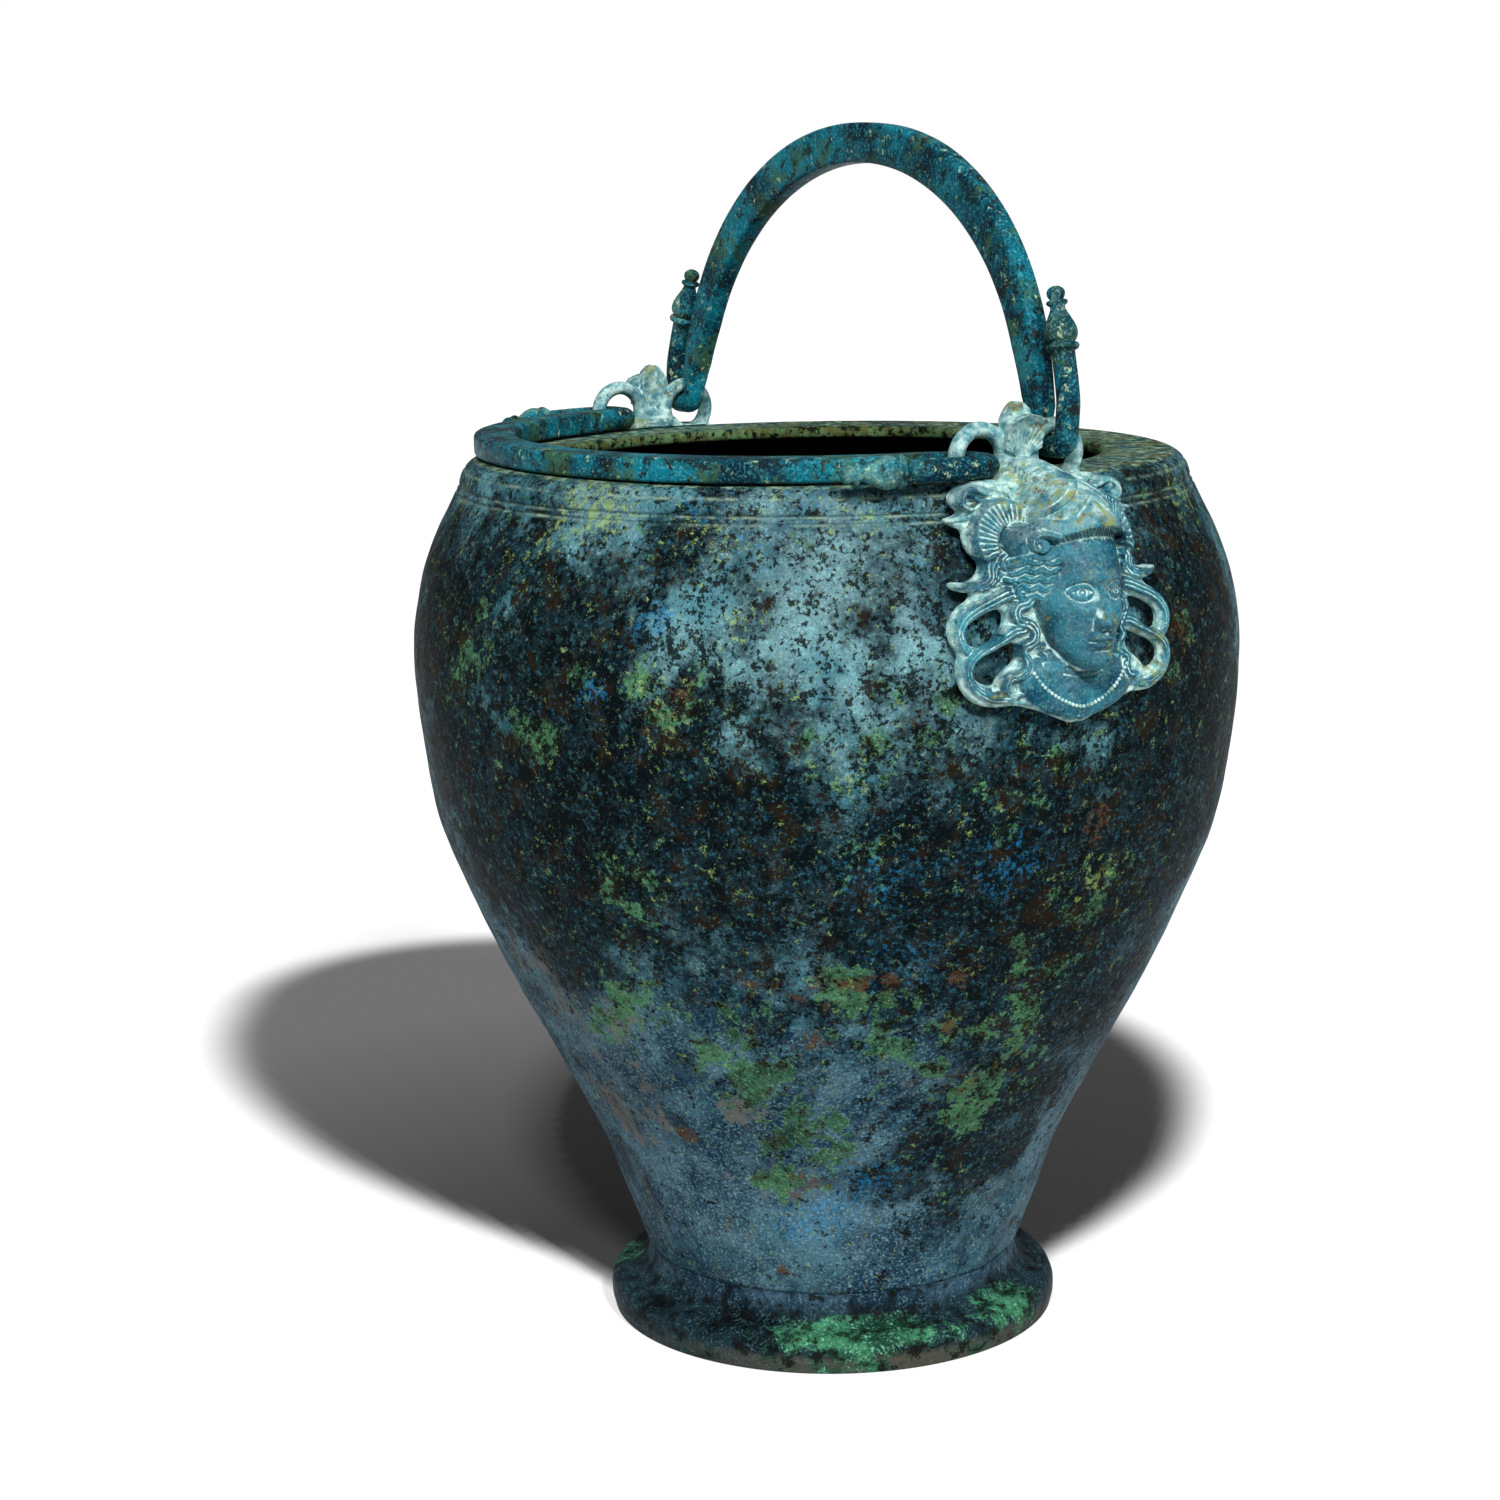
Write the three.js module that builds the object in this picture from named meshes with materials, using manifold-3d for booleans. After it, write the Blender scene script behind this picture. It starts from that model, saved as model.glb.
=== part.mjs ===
// An ancient bronze situla: an ovoid bucket with a flat in-turned rim, a cast foot, two cast handle
// attachments in high relief, and two swing bails that hang in the rings of the attachments.
// Millimetres, +Z up, origin at the centre of the foot's underside. The attachments stand on the
// front (-Y) and back (+Y) of the rim, so each bail swings about a line parallel to Y.
import * as THREE from "three";
import { mergeVertices } from "three/addons/utils/BufferGeometryUtils.js";
import Module from "manifold-3d";

const wasm = await Module();
wasm.setup();

// Body: hammered sheet, with the rim turned in to a flat ring
const rimHeight = 272;
const bellyRadius = 127.5;
const rimFlatRadius = 105;
const mouthRadius = 84.5;
const rimThickness = 4;
const wallThickness = 1.6;
const floorThickness = 3;
const baseRadius = 59;
const roundSegments = 48;
const outlineSteps = 17;
const cornerSteps = 3;
const innerSteps = 12;
const innerCornerSteps = 2;

// Foot: a cast ring, soldered under the body
const footHeight = 20.6;
const footNeckRadius = 58.6;
const flangeRadius = 71;
const flangeHeight = 11.5;
const lipHeight = 1.2;
const lipInset = 0.9;
const footBoreRadius = 53;
const footWidthAtGround = 11;

// Solder: soft lead-tin, a ring under the body and a bed behind each attachment
const solderThickness = 0.6;
const footSolderWidth = 5.5;
const footSolderInset = 2.5;
const bedThickness = 1.9;
const bedMargin = 6;

// Fits: a seated piece's gap, a swinging piece's gap, and where a rod hangs or lies in its ring
const restGap = 0.3;
const runningGap = 0.3;
const hangGap = 0.4;

// Attachments: cast in one piece, a plate that hugs the shoulder, with two rings on the rim
const attachmentOffset = -2;
const plateStandOff = 2.5;
const plateThickness = 3.6;
const ringSpacing = 25;
const ringHoleRadius = 5.6;
const ringSection = 4.3;
const ringDepth = 5.4;
const ringInset = 4;
const ringCentreRise = 6.2;
const stemHalfWidth = 5;
const stemRise = 21.5;
const saddleHalfWidth = 21;
const saddleDrop = 8;
const maskHalfWidth = 35.5;
const maskDrop = 65;
const fanHalfWidth = 6.2;
const fanRise = 17;
const fanBaseRise = 4.5;
const fanDepth = 5.5;
const bridgeHalfWidth = 5.6;
const bridgeReach = 18;

// Head on the attachment: a calm, plain face under a crested helmet
const headHalfWidth = 13.8;
const headHalfHeight = 20;
const headHalfDepth = 18;
const headDrop = 31;
const headProud = 2.5;
const helmetHalfWidth = 15.5;
const helmetHalfHeight = 18;
const helmetHalfDepth = 17;
const helmetDrop = 16;
const helmetSetBack = 2.5;
const helmetBrowDrop = 24;
const frontletHalfWidth = 10.5;
const frontletRise = 3.4;
const frontletDrop = 7.5;
const frontletProud = 2;
const noseHalfWidth = 2.1;
const noseHalfHeight = 5;
const noseHalfDepth = 3.2;
const bustHalfWidth = 19;
const bustHalfHeight = 10;
const bustHalfDepth = 9;
const bustDrop = 55;
const neckRadius = 8;
const neckHeight = 22;
const crestRadius = 11.8;
const crestSpacing = 28.4;
const crestDrop = 15.4;
const crestThickness = 7.4;
const earRadius = 5.2;
const earThickness = 9.6;
const voluteRadius = 4.2;
const voluteSpacing = 46;
const voluteDrop = 3.9;
const voluteThickness = 6.2;
const tressRadius = 2.1;
const lockRadius = 3.2;

// Bails: forged bars with turned knobs on their hooked ends
const bailThickness = 7;
const bailEdge = 1.5;
const bailRise = 90.5;
const bailCrownWidth = 12.1;
const shankWidth = 9.7;
const shankDrop = 3.6;
const bailFullness = 2.1;
const rodRadius = 3.4;
const hookBend = 3.6;
const rodRise = 27;
const finialLength = 18.5;
const bulbRadius = 4.7;
const rightBailLeanDegrees = 3.4;

// Sizes that follow from the ones above
const baseHeight = footHeight + solderThickness;
const ringInnerFace = rimFlatRadius - ringInset;
const ringOuterRadius = ringHoleRadius + ringSection;
const ringOuterFace = ringInnerFace + ringDepth;
const ringCentreHeight = rimHeight + ringCentreRise;
const hookPlay = ringHoleRadius - rodRadius - hangGap;
const shankOuterFace = ringInnerFace - runningGap;
const rodOffset = ringDepth + 2 * runningGap + rodRadius;
const leftPivotHeight = ringCentreHeight - hookPlay;
const rightPivotHeight = ringCentreHeight + hookPlay;
const leftPivotX = attachmentOffset - ringSpacing / 2;
const rightPivotX = attachmentOffset + ringSpacing / 2;
const headReach = bellyRadius + headProud;
const helmetReach = bellyRadius - helmetSetBack;
const reliefReach = bellyRadius + 2 * headHalfDepth;

// Colours of the patina
const bronzeBody = new THREE.MeshStandardMaterial({ color: 0x33505c, roughness: 0.62, metalness: 0.35 });
const bronzeFoot = new THREE.MeshStandardMaterial({ color: 0x24383f, roughness: 0.6, metalness: 0.35 });
const bronzeMask = new THREE.MeshStandardMaterial({ color: 0x7fb0ac, roughness: 0.8, metalness: 0.1 });
const bronzeBail = new THREE.MeshStandardMaterial({ color: 0x1f6475, roughness: 0.6, metalness: 0.3 });
const solderGrey = new THREE.MeshStandardMaterial({ color: 0x8a8d8c, roughness: 0.7, metalness: 0.4 });

// Solids and meshes

function solidOf(geometry) {
  const bare = geometry.clone();
  bare.deleteAttribute("normal");
  bare.deleteAttribute("uv");
  const merged = mergeVertices(bare, 1e-4);
  const index = merged.index.array;
  return new wasm.Manifold(
    new wasm.Mesh({
      numProp: 3,
      vertProperties: new Float32Array(merged.attributes.position.array),
      triVerts: new Uint32Array(index),
    }),
  );
}

function geometryOf(solid) {
  const mesh = solid.getMesh();
  const geometry = new THREE.BufferGeometry();
  geometry.setAttribute("position", new THREE.BufferAttribute(mesh.vertProperties, 3));
  geometry.setIndex(new THREE.BufferAttribute(mesh.triVerts, 1));
  return geometry;
}

function namedMesh(name, geometry, material) {
  const mesh = new THREE.Mesh(geometry, material);
  mesh.name = name;
  return mesh;
}

// A turned solid about Z, from radius and height pairs.
function turned(points, segments = roundSegments) {
  return new THREE.LatheGeometry(points, segments).rotateX(Math.PI / 2);
}

// An outline about the attachment's centre line in the X-Z plane, given depth from one distance in
// front of the vessel's axis to another.
function slab(shape, near, far, curveSegments = 6) {
  const settings = { depth: far - near, bevelEnabled: false, curveSegments };
  const geometry = new THREE.ExtrudeGeometry(shape, settings);
  return solidOf(geometry.rotateX(Math.PI / 2).translate(attachmentOffset, -near, 0));
}

function ellipsoid(halfWidth, halfDepth, halfHeight, reach, height, across, down) {
  const geometry = new THREE.SphereGeometry(1, across, down).rotateX(Math.PI / 2);
  geometry.scale(halfWidth, halfDepth, halfHeight);
  return solidOf(geometry.translate(attachmentOffset, -reach, height));
}

function mirrored(points) {
  return points.map(([x, z]) => [-x, z]).reverse();
}

// Body outline: up to the belly as shares of its radius, above it as shares of the way out from the
// rim's flat to the belly, both with shares of the height from the body's base to the rim
const lowerOutlineShares = [
  [0.484, 0.027],
  [0.521, 0.075],
  [0.576, 0.155],
  [0.675, 0.254],
  [0.78, 0.354],
  [0.871, 0.454],
  [0.947, 0.553],
  [0.985, 0.653],
  [1, 0.733],
];
const shoulderShares = [
  [0.983, 0.801],
  [0.841, 0.864],
  [0.637, 0.912],
  [0.456, 0.944],
  [0.314, 0.968],
];
const rimCornerShares = [0.2, 0.85];

// The outer surface from the base up to the edge of the rim's flat top.
function bodyOutline(steps = outlineSteps, cornerPoints = cornerSteps) {
  const span = rimHeight - baseHeight;
  const shoulder = bellyRadius - rimFlatRadius;
  const knots = [
    ...lowerOutlineShares.map(([r, z]) => new THREE.Vector2(r * bellyRadius, baseHeight + z * span)),
    ...shoulderShares.map(
      ([r, z]) => new THREE.Vector2(rimFlatRadius + r * shoulder, baseHeight + z * span),
    ),
  ];
  const side = new THREE.SplineCurve([new THREE.Vector2(baseRadius, baseHeight), ...knots]);
  const last = knots[knots.length - 1];
  const control = new THREE.Vector2(
    last.x - rimCornerShares[0] * (last.x - rimFlatRadius),
    last.y + rimCornerShares[1] * (rimHeight - last.y),
  );
  const edge = new THREE.Vector2(rimFlatRadius, rimHeight);
  const corner = new THREE.QuadraticBezierCurve(last, control, edge);
  return [...side.getSpacedPoints(steps), ...corner.getPoints(cornerPoints).slice(1)];
}

// The same outline moved outwards, square to the surface, or inwards when the distance is negative.
function offsetOutline(points, distance) {
  return points.map((point, i) => {
    const before = points[Math.max(i - 1, 0)];
    const after = points[Math.min(i + 1, points.length - 1)];
    const along = after.clone().sub(before).normalize();
    return new THREE.Vector2(point.x + along.y * distance, point.y - along.x * distance);
  });
}

function vesselBody() {
  const outer = bodyOutline();
  const inner = offsetOutline(bodyOutline(innerSteps, innerCornerSteps), -wallThickness);
  const underRim = rimHeight - rimThickness;
  const floorHeight = baseHeight + floorThickness;
  const wall = inner.filter((p) => p.y > floorHeight + wallThickness && p.y < underRim - wallThickness);
  const cornerRadius = wall[wall.length - 1].x - wallThickness;
  const profile = [
    new THREE.Vector2(0, baseHeight),
    ...outer,
    new THREE.Vector2(mouthRadius, rimHeight),
    new THREE.Vector2(mouthRadius, underRim),
    new THREE.Vector2(cornerRadius, underRim),
    ...wall.reverse(),
    new THREE.Vector2(baseRadius - wallThickness, floorHeight),
    new THREE.Vector2(0, floorHeight),
  ];
  return namedMesh("vessel_body", turned(profile), bronzeBody);
}

// Foot: flange and concave neck, as shares of the flange's overhang and of the heights
const flangeRoundShares = [
  [1, 0.33],
  [1, 0.62],
  [0.93, 0.86],
  [0.78, 1],
];
const neckSweepShares = [0.12, 0.22];

function footRing() {
  const overhang = flangeRadius - footNeckRadius;
  const lipRadius = flangeRadius - lipInset;
  const flange = flangeRoundShares.map(
    ([r, z]) => new THREE.Vector2(footNeckRadius + r * overhang, z * flangeHeight),
  );
  const top = new THREE.Vector2(footNeckRadius, footHeight);
  const last = flange[flange.length - 1];
  const control = new THREE.Vector2(
    footNeckRadius + neckSweepShares[0] * overhang,
    flangeHeight + neckSweepShares[1] * (footHeight - flangeHeight),
  );
  const neck = new THREE.QuadraticBezierCurve(last, control, top).getPoints(5).slice(1);
  const profile = [
    new THREE.Vector2(lipRadius - footWidthAtGround, 0),
    new THREE.Vector2(lipRadius, 0),
    new THREE.Vector2(lipRadius, lipHeight),
    ...flange,
    ...neck,
    new THREE.Vector2(footBoreRadius, footHeight),
    new THREE.Vector2(footBoreRadius, flangeHeight),
    new THREE.Vector2(lipRadius - footWidthAtGround, 0),
  ];
  return namedMesh("foot_ring", turned(profile), bronzeFoot);
}

function footSolder() {
  const outer = footNeckRadius - footSolderInset;
  const inner = outer - footSolderWidth;
  const profile = [
    new THREE.Vector2(inner, footHeight),
    new THREE.Vector2(outer, footHeight),
    new THREE.Vector2(outer, baseHeight),
    new THREE.Vector2(inner, baseHeight),
    new THREE.Vector2(inner, footHeight),
  ];
  return namedMesh("foot_solder", turned(profile), solderGrey);
}

// Attachment plate outline, as shares of the half width and of the drop below the rim.
// It runs down the right side: volute, leaf, side crest, tail of the crest, band, corner, tip.
const plateOutlineShares = [
  [0.6, 0],
  [0.73, 0.01],
  [0.78, 0.06],
  [0.72, 0.105],
  [0.86, 0.135],
  [0.76, 0.17],
  [0.765, 0.24],
  [0.69, 0.31],
  [0.79, 0.385],
  [0.95, 0.37],
  [0.93, 0.43],
  [0.74, 0.465],
  [0.93, 0.51],
  [1, 0.6],
  [0.98, 0.75],
  [0.88, 0.86],
  [0.66, 0.895],
  [0.34, 0.93],
  [0, 1],
];
// Openwork: centre, half length, half width and turn in degrees of each of the two holes of a side
const openworkShares = [
  [0.74, 0.575, 0.17, 0.09, 30],
  [0.69, 0.73, 0.19, 0.105, 33],
];

function plateShape(inset) {
  const place = ([x, z]) => [x * (maskHalfWidth - inset), rimHeight - z * (maskDrop - inset)];
  const right = plateOutlineShares.map(place);
  const outline = [...right, ...mirrored(right.slice(0, -1))];
  const shape = new THREE.Shape();
  outline.forEach(([x, z], i) => (i ? shape.lineTo(x, z) : shape.moveTo(x, z)));
  shape.closePath();
  return shape;
}

function openworkShape(side, [x, z, halfLength, halfWidth, turn]) {
  const shape = new THREE.Shape();
  shape.absellipse(
    side * x * maskHalfWidth,
    rimHeight - z * maskDrop,
    halfLength * maskHalfWidth,
    halfWidth * maskHalfWidth,
    0,
    2 * Math.PI,
    false,
    side * THREE.MathUtils.degToRad(turn),
  );
  return shape;
}

// All that lies within a distance of the body's surface, filled to the axis.
function withinDistance(distance) {
  const outline = offsetOutline(bodyOutline(), distance);
  const floor = new THREE.Vector2(0, outline[0].y);
  const roof = new THREE.Vector2(0, rimHeight + distance);
  return solidOf(turned([floor, ...outline, new THREE.Vector2(rimFlatRadius, roof.y), roof]));
}

// Rings, stem and saddle stand on the flat of the rim.
function ringsAndStem() {
  const near = ringInnerFace;
  const far = ringOuterFace;
  const ring = (side) => {
    const shape = new THREE.Shape();
    shape.absarc(side * (ringSpacing / 2), ringCentreHeight, ringOuterRadius, 0, 2 * Math.PI);
    return slab(shape, near, far, 11);
  };
  const hole = (side) => {
    const shape = new THREE.Shape();
    shape.absarc(side * (ringSpacing / 2), ringCentreHeight, ringHoleRadius, 0, 2 * Math.PI);
    return slab(shape, near - ringDepth, far + ringDepth, 11);
  };
  const stem = new THREE.Shape();
  stem.moveTo(-stemHalfWidth, rimHeight - saddleDrop);
  stem.lineTo(stemHalfWidth, rimHeight - saddleDrop);
  stem.lineTo(stemHalfWidth, rimHeight + stemRise - stemHalfWidth);
  stem.absarc(0, rimHeight + stemRise - stemHalfWidth, stemHalfWidth, 0, Math.PI);
  const saddle = new THREE.Shape();
  saddle.moveTo(-saddleHalfWidth, rimHeight - saddleDrop);
  saddle.lineTo(saddleHalfWidth, rimHeight - saddleDrop);
  saddle.lineTo(saddleHalfWidth, ringCentreHeight - ringHoleRadius);
  saddle.lineTo(-saddleHalfWidth, ringCentreHeight - ringHoleRadius);
  return slab(stem, near, far, 5)
    .add(slab(saddle, near, far + plateThickness))
    .add(ring(-1))
    .add(ring(1))
    .subtract(hole(-1))
    .subtract(hole(1));
}

// The ribbed leaf between the rings, and the sloping neck that joins it to the helmet.
const fanRimShares = [
  [0.45, 0.25],
  [0.95, 0.55],
  [1, 0.8],
  [0.6, 0.97],
  [0, 1],
];
const bridgeSlopeShares = [
  [0.3, 0.55],
  [1, 0.12],
];

function fanAndBridge() {
  const height = fanRise - fanBaseRise;
  const right = fanRimShares.map(([x, z]) => [x * fanHalfWidth, rimHeight + fanBaseRise + z * height]);
  const outline = [...right, ...mirrored(right.slice(0, -1))];
  const fan = new THREE.Shape();
  fan.moveTo(0, rimHeight + fanBaseRise);
  outline.forEach(([x, z]) => fan.lineTo(x, z));
  const side = new THREE.Shape();
  side.moveTo(ringInnerFace, rimHeight - saddleDrop);
  side.lineTo(ringOuterFace + bridgeReach, rimHeight - saddleDrop);
  [...bridgeSlopeShares].reverse().forEach(([y, z]) => {
    side.lineTo(ringOuterFace + y * bridgeReach, rimHeight + z * stemRise / 2);
  });
  side.lineTo(ringInnerFace, rimHeight + fanBaseRise + ringSection / 2);
  const settings = { depth: 2 * bridgeHalfWidth, bevelEnabled: false };
  const bridge = new THREE.ExtrudeGeometry(side, settings)
    .rotateX(Math.PI / 2)
    .rotateZ(-Math.PI / 2)
    .translate(attachmentOffset + bridgeHalfWidth, 0, 0);
  return slab(fan, ringInnerFace, ringOuterFace + fanDepth, 4).add(solidOf(bridge));
}

// Raised work on the plate: side crests with round ear pieces, and volutes.
function discsOnPlate(spacing, drop, radius, thickness, sides) {
  const disc = (side) => {
    const shape = new THREE.Shape();
    shape.absarc(side * (spacing / 2), rimHeight - drop, radius, 0, 2 * Math.PI);
    return slab(shape, mouthRadius, reliefReach, sides);
  };
  return disc(-1).add(disc(1)).intersect(withinDistance(plateStandOff + thickness));
}

// Tresses lie on the plate: routes as shares of the half width and of the drop, with a lift
const tressRouteShares = [
  [
    [0.66, 0.27],
    [0.72, 0.35],
    [0.93, 0.4],
  ],
  [
    [0.5, 0.42],
    [0.86, 0.49],
    [0.95, 0.6],
    [0.9, 0.675],
    [0.6, 0.6],
  ],
  [
    [0.9, 0.675],
    [0.93, 0.78],
    [0.8, 0.86],
    [0.6, 0.84],
  ],
];
const lockRouteShares = [
  [
    [0.42, 0.36],
    [0.52, 0.48],
    [0.44, 0.6],
    [0.53, 0.72],
    [0.48, 0.84],
  ],
];
const noseSinkShare = 0.33;

// A point on the surface that lies a distance off the body, below a point of the outline.
function onShoulder(x, height, distance) {
  const outline = offsetOutline(bodyOutline(60, 8), distance);
  const above = outline.findIndex((p) => p.y >= height);
  const [a, b] = [outline[above - 1], outline[above]];
  const radius = THREE.MathUtils.mapLinear(height, a.y, b.y, a.x, b.x);
  const across = x + attachmentOffset;
  return new THREE.Vector3(across, -Math.sqrt(radius * radius - across * across), height);
}

function roundBar(curve, steps, radius, sides) {
  const section = new THREE.Shape();
  for (let k = 0; k <= sides; k += 1) {
    const angle = (2 * Math.PI * k) / sides;
    const point = [radius * Math.cos(angle), radius * Math.sin(angle)];
    if (k) section.lineTo(...point);
    else section.moveTo(...point);
  }
  const settings = { steps, extrudePath: curve, bevelEnabled: false };
  return solidOf(new THREE.ExtrudeGeometry(section, settings));
}

function tresses(routes, radius) {
  const lift = plateStandOff + plateThickness;
  const bars = routes.flatMap((route) =>
    [-1, 1].map((side) => {
      const points = route.map(([x, z]) =>
        onShoulder(side * x * maskHalfWidth, rimHeight - z * maskDrop, lift),
      );
      return roundBar(new THREE.CatmullRomCurve3(points), 2 * (route.length - 1), radius, 6);
    }),
  );
  return bars.reduce((all, bar) => all.add(bar));
}

function frontletPiece() {
  const shape = new THREE.Shape();
  shape.moveTo(-frontletHalfWidth, rimHeight - frontletDrop);
  shape.lineTo(frontletHalfWidth, rimHeight - frontletDrop);
  shape.lineTo(0, rimHeight + frontletRise);
  shape.closePath();
  const dome = ellipsoid(
    helmetHalfWidth + frontletProud,
    helmetHalfDepth + frontletProud,
    helmetHalfHeight + frontletProud,
    helmetReach,
    rimHeight - helmetDrop,
    16,
    12,
  );
  return slab(shape, helmetReach - frontletProud, helmetReach + 2 * helmetHalfDepth).intersect(dome);
}

function headAndBust() {
  const headHeight = rimHeight - headDrop;
  const face = ellipsoid(headHalfWidth, headHalfDepth, headHalfHeight, headReach, headHeight, 16, 12);
  const noseReach = headReach + headHalfDepth - noseSinkShare * noseHalfDepth;
  const nose = ellipsoid(noseHalfWidth, noseHalfDepth, noseHalfHeight, noseReach, headHeight, 8, 6);
  const browCut = new THREE.BoxGeometry(4 * helmetHalfWidth, 4 * bellyRadius, 2 * helmetHalfHeight)
    .translate(0, 0, rimHeight - helmetBrowDrop - helmetHalfHeight);
  const helmet = ellipsoid(
    helmetHalfWidth,
    helmetHalfDepth,
    helmetHalfHeight,
    helmetReach,
    rimHeight - helmetDrop,
    16,
    12,
  ).subtract(solidOf(browCut));
  const bust = ellipsoid(
    bustHalfWidth,
    bustHalfDepth,
    bustHalfHeight,
    bellyRadius,
    rimHeight - bustDrop,
    14,
    8,
  );
  const neck = new THREE.CylinderGeometry(neckRadius, neckRadius, neckHeight, 12)
    .rotateX(Math.PI / 2)
    .translate(attachmentOffset, -bellyRadius, rimHeight - bustDrop + neckHeight / 2);
  return face.add(nose).add(helmet).add(frontletPiece()).add(bust).add(solidOf(neck));
}

function attachmentSolid() {
  const plate = slab(plateShape(0), mouthRadius, reliefReach).intersect(
    withinDistance(plateStandOff + plateThickness),
  );
  const openwork = openworkShares.flatMap((hole) =>
    [-1, 1].map((side) => slab(openworkShape(side, hole), mouthRadius, reliefReach, 5)),
  );
  const raised = plate
    .add(discsOnPlate(crestSpacing, crestDrop, crestRadius, crestThickness, 10))
    .add(discsOnPlate(crestSpacing, crestDrop, earRadius, earThickness, 6))
    .add(discsOnPlate(voluteSpacing, voluteDrop, voluteRadius, voluteThickness, 6))
    .add(tresses(tressRouteShares, tressRadius))
    .add(tresses(lockRouteShares, lockRadius))
    .add(headAndBust());
  return openwork
    .reduce((all, hole) => all.subtract(hole), raised)
    .subtract(withinDistance(plateStandOff))
    .add(ringsAndStem())
    .add(fanAndBridge())
    .subtract(withinDistance(restGap));
}

// The solder bed fills the space behind the plate, back from its edge, where the plate has no holes.
function bedSolid() {
  const halfWidth = (openworkShares[1][0] - openworkShares[1][2]) * maskHalfWidth;
  const top = rimHeight - saddleDrop - restGap;
  const middle = new THREE.Shape();
  middle.moveTo(-halfWidth, rimHeight - maskDrop);
  middle.lineTo(halfWidth, rimHeight - maskDrop);
  middle.lineTo(halfWidth, top);
  middle.lineTo(-halfWidth, top);
  return slab(plateShape(bedMargin), mouthRadius, reliefReach)
    .intersect(slab(middle, mouthRadius - bedMargin, reliefReach + bedMargin))
    .intersect(withinDistance(restGap + bedThickness))
    .subtract(withinDistance(restGap));
}

// Bails

function ellipseY(halfSpan, rise, fullness, w) {
  return halfSpan * Math.pow(1 - Math.pow(Math.max(w, 0) / rise, fullness), 1 / fullness);
}

function archEdge(halfSpan, rise, fullness, count) {
  return Array.from({ length: count + 1 }, (_, k) => {
    const angle = (Math.PI * k) / count;
    const c = Math.cos(angle);
    const y = Math.sign(c) * halfSpan * Math.pow(Math.abs(c), 2 / fullness);
    return [y, rise * Math.pow(Math.abs(Math.sin(angle)), 2 / fullness)];
  });
}

// The flat arch, drawn in the Y-Z plane about its pivot line and given its thickness along X.
function archSolid() {
  const outer = archEdge(shankOuterFace, bailRise, bailFullness, 30);
  const inner = archEdge(shankOuterFace - shankWidth, bailRise - bailCrownWidth, 2, 26).reverse();
  const shape = new THREE.Shape();
  const foot = [
    [shankOuterFace, bailEdge - shankDrop],
    [shankOuterFace - bailEdge, -shankDrop],
    [shankOuterFace - shankWidth + bailEdge, -shankDrop],
    [shankOuterFace - shankWidth, bailEdge - shankDrop],
  ];
  shape.moveTo(...foot[0]);
  [...outer, ...mirrored(foot).reverse(), ...inner, ...foot.toReversed()].forEach(([y, w]) => {
    shape.lineTo(y, w);
  });
  const settings = {
    depth: bailThickness - 2 * bailEdge,
    bevelThickness: bailEdge,
    bevelSize: bailEdge,
    bevelOffset: -bailEdge,
    bevelSegments: 1,
  };
  const geometry = new THREE.ExtrudeGeometry(shape, settings)
    .translate(0, 0, bailEdge - bailThickness / 2)
    .rotateX(Math.PI / 2)
    .rotateZ(Math.PI / 2);
  return solidOf(geometry);
}

// The hook runs out through the ring, turns straight up past it and then follows the arch's edge.
const bendShares = [0.55, 0.45];

function hookCurve() {
  const point = (y, w) => new THREE.Vector3(0, y, w);
  const rodY = (w) => ellipseY(shankOuterFace, bailRise, bailFullness, w) + rodOffset;
  const bendStart = point(rodY(0) - hookBend, 0);
  const bendEnd = point(rodY(0), hookBend);
  const aboveRing = point(rodY(0), ringOuterRadius + hookPlay);
  const end = point(rodY(rodRise), rodRise);
  const slope = (rodY(rodRise - rodRadius) - rodY(rodRise + rodRadius)) / (2 * rodRadius);
  const control = point(rodY(0), rodRise - (rodY(0) - end.y) / slope);
  const path = new THREE.CurvePath();
  path.add(new THREE.LineCurve3(point(shankOuterFace - shankWidth / 2, 0), bendStart));
  path.add(
    new THREE.CubicBezierCurve3(
      bendStart,
      point(bendStart.y + bendShares[0] * hookBend, 0),
      point(bendEnd.y, bendShares[1] * hookBend),
      bendEnd,
    ),
  );
  path.add(new THREE.LineCurve3(bendEnd, aboveRing));
  path.add(new THREE.QuadraticBezierCurve3(aboveRing, control, end));
  return path;
}

// Turned knob: collar, bud-shaped bulb, bead and small ball, as shares of the bulb's radius and length
const finialShares = [
  [0.76, 0],
  [1, 0.03],
  [1, 0.1],
  [0.72, 0.14],
  [0.78, 0.2],
  [1, 0.29],
  [0.93, 0.41],
  [0.5, 0.6],
  [0.46, 0.66],
  [0.7, 0.71],
  [0.46, 0.77],
  [0.62, 0.85],
  [0.62, 0.93],
  [0.3, 1],
];

// The knob is seated over the end of the rod by the height of its collar's lower edge.
function finialSolid(curve) {
  const direction = curve.getTangent(1);
  const seat = finialShares[1][1] * finialLength;
  const end = curve.getPoint(1).addScaledVector(direction, -seat);
  const points = finialShares.map(([r, z]) => new THREE.Vector2(r * bulbRadius, z * finialLength));
  const bottom = new THREE.Vector2(0, 0);
  const top = new THREE.Vector2(0, finialLength);
  const geometry = turned([bottom, ...points, top], 10);
  const turn = new THREE.Quaternion().setFromUnitVectors(new THREE.Vector3(0, 0, 1), direction);
  return solidOf(geometry.applyQuaternion(turn).translate(end.x, end.y, end.z));
}

function bailSolid() {
  const curve = hookCurve();
  const hook = roundBar(curve, 16, rodRadius, 10).add(finialSolid(curve));
  return archSolid().add(hook).add(hook.mirror([0, 1, 0]));
}

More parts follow.
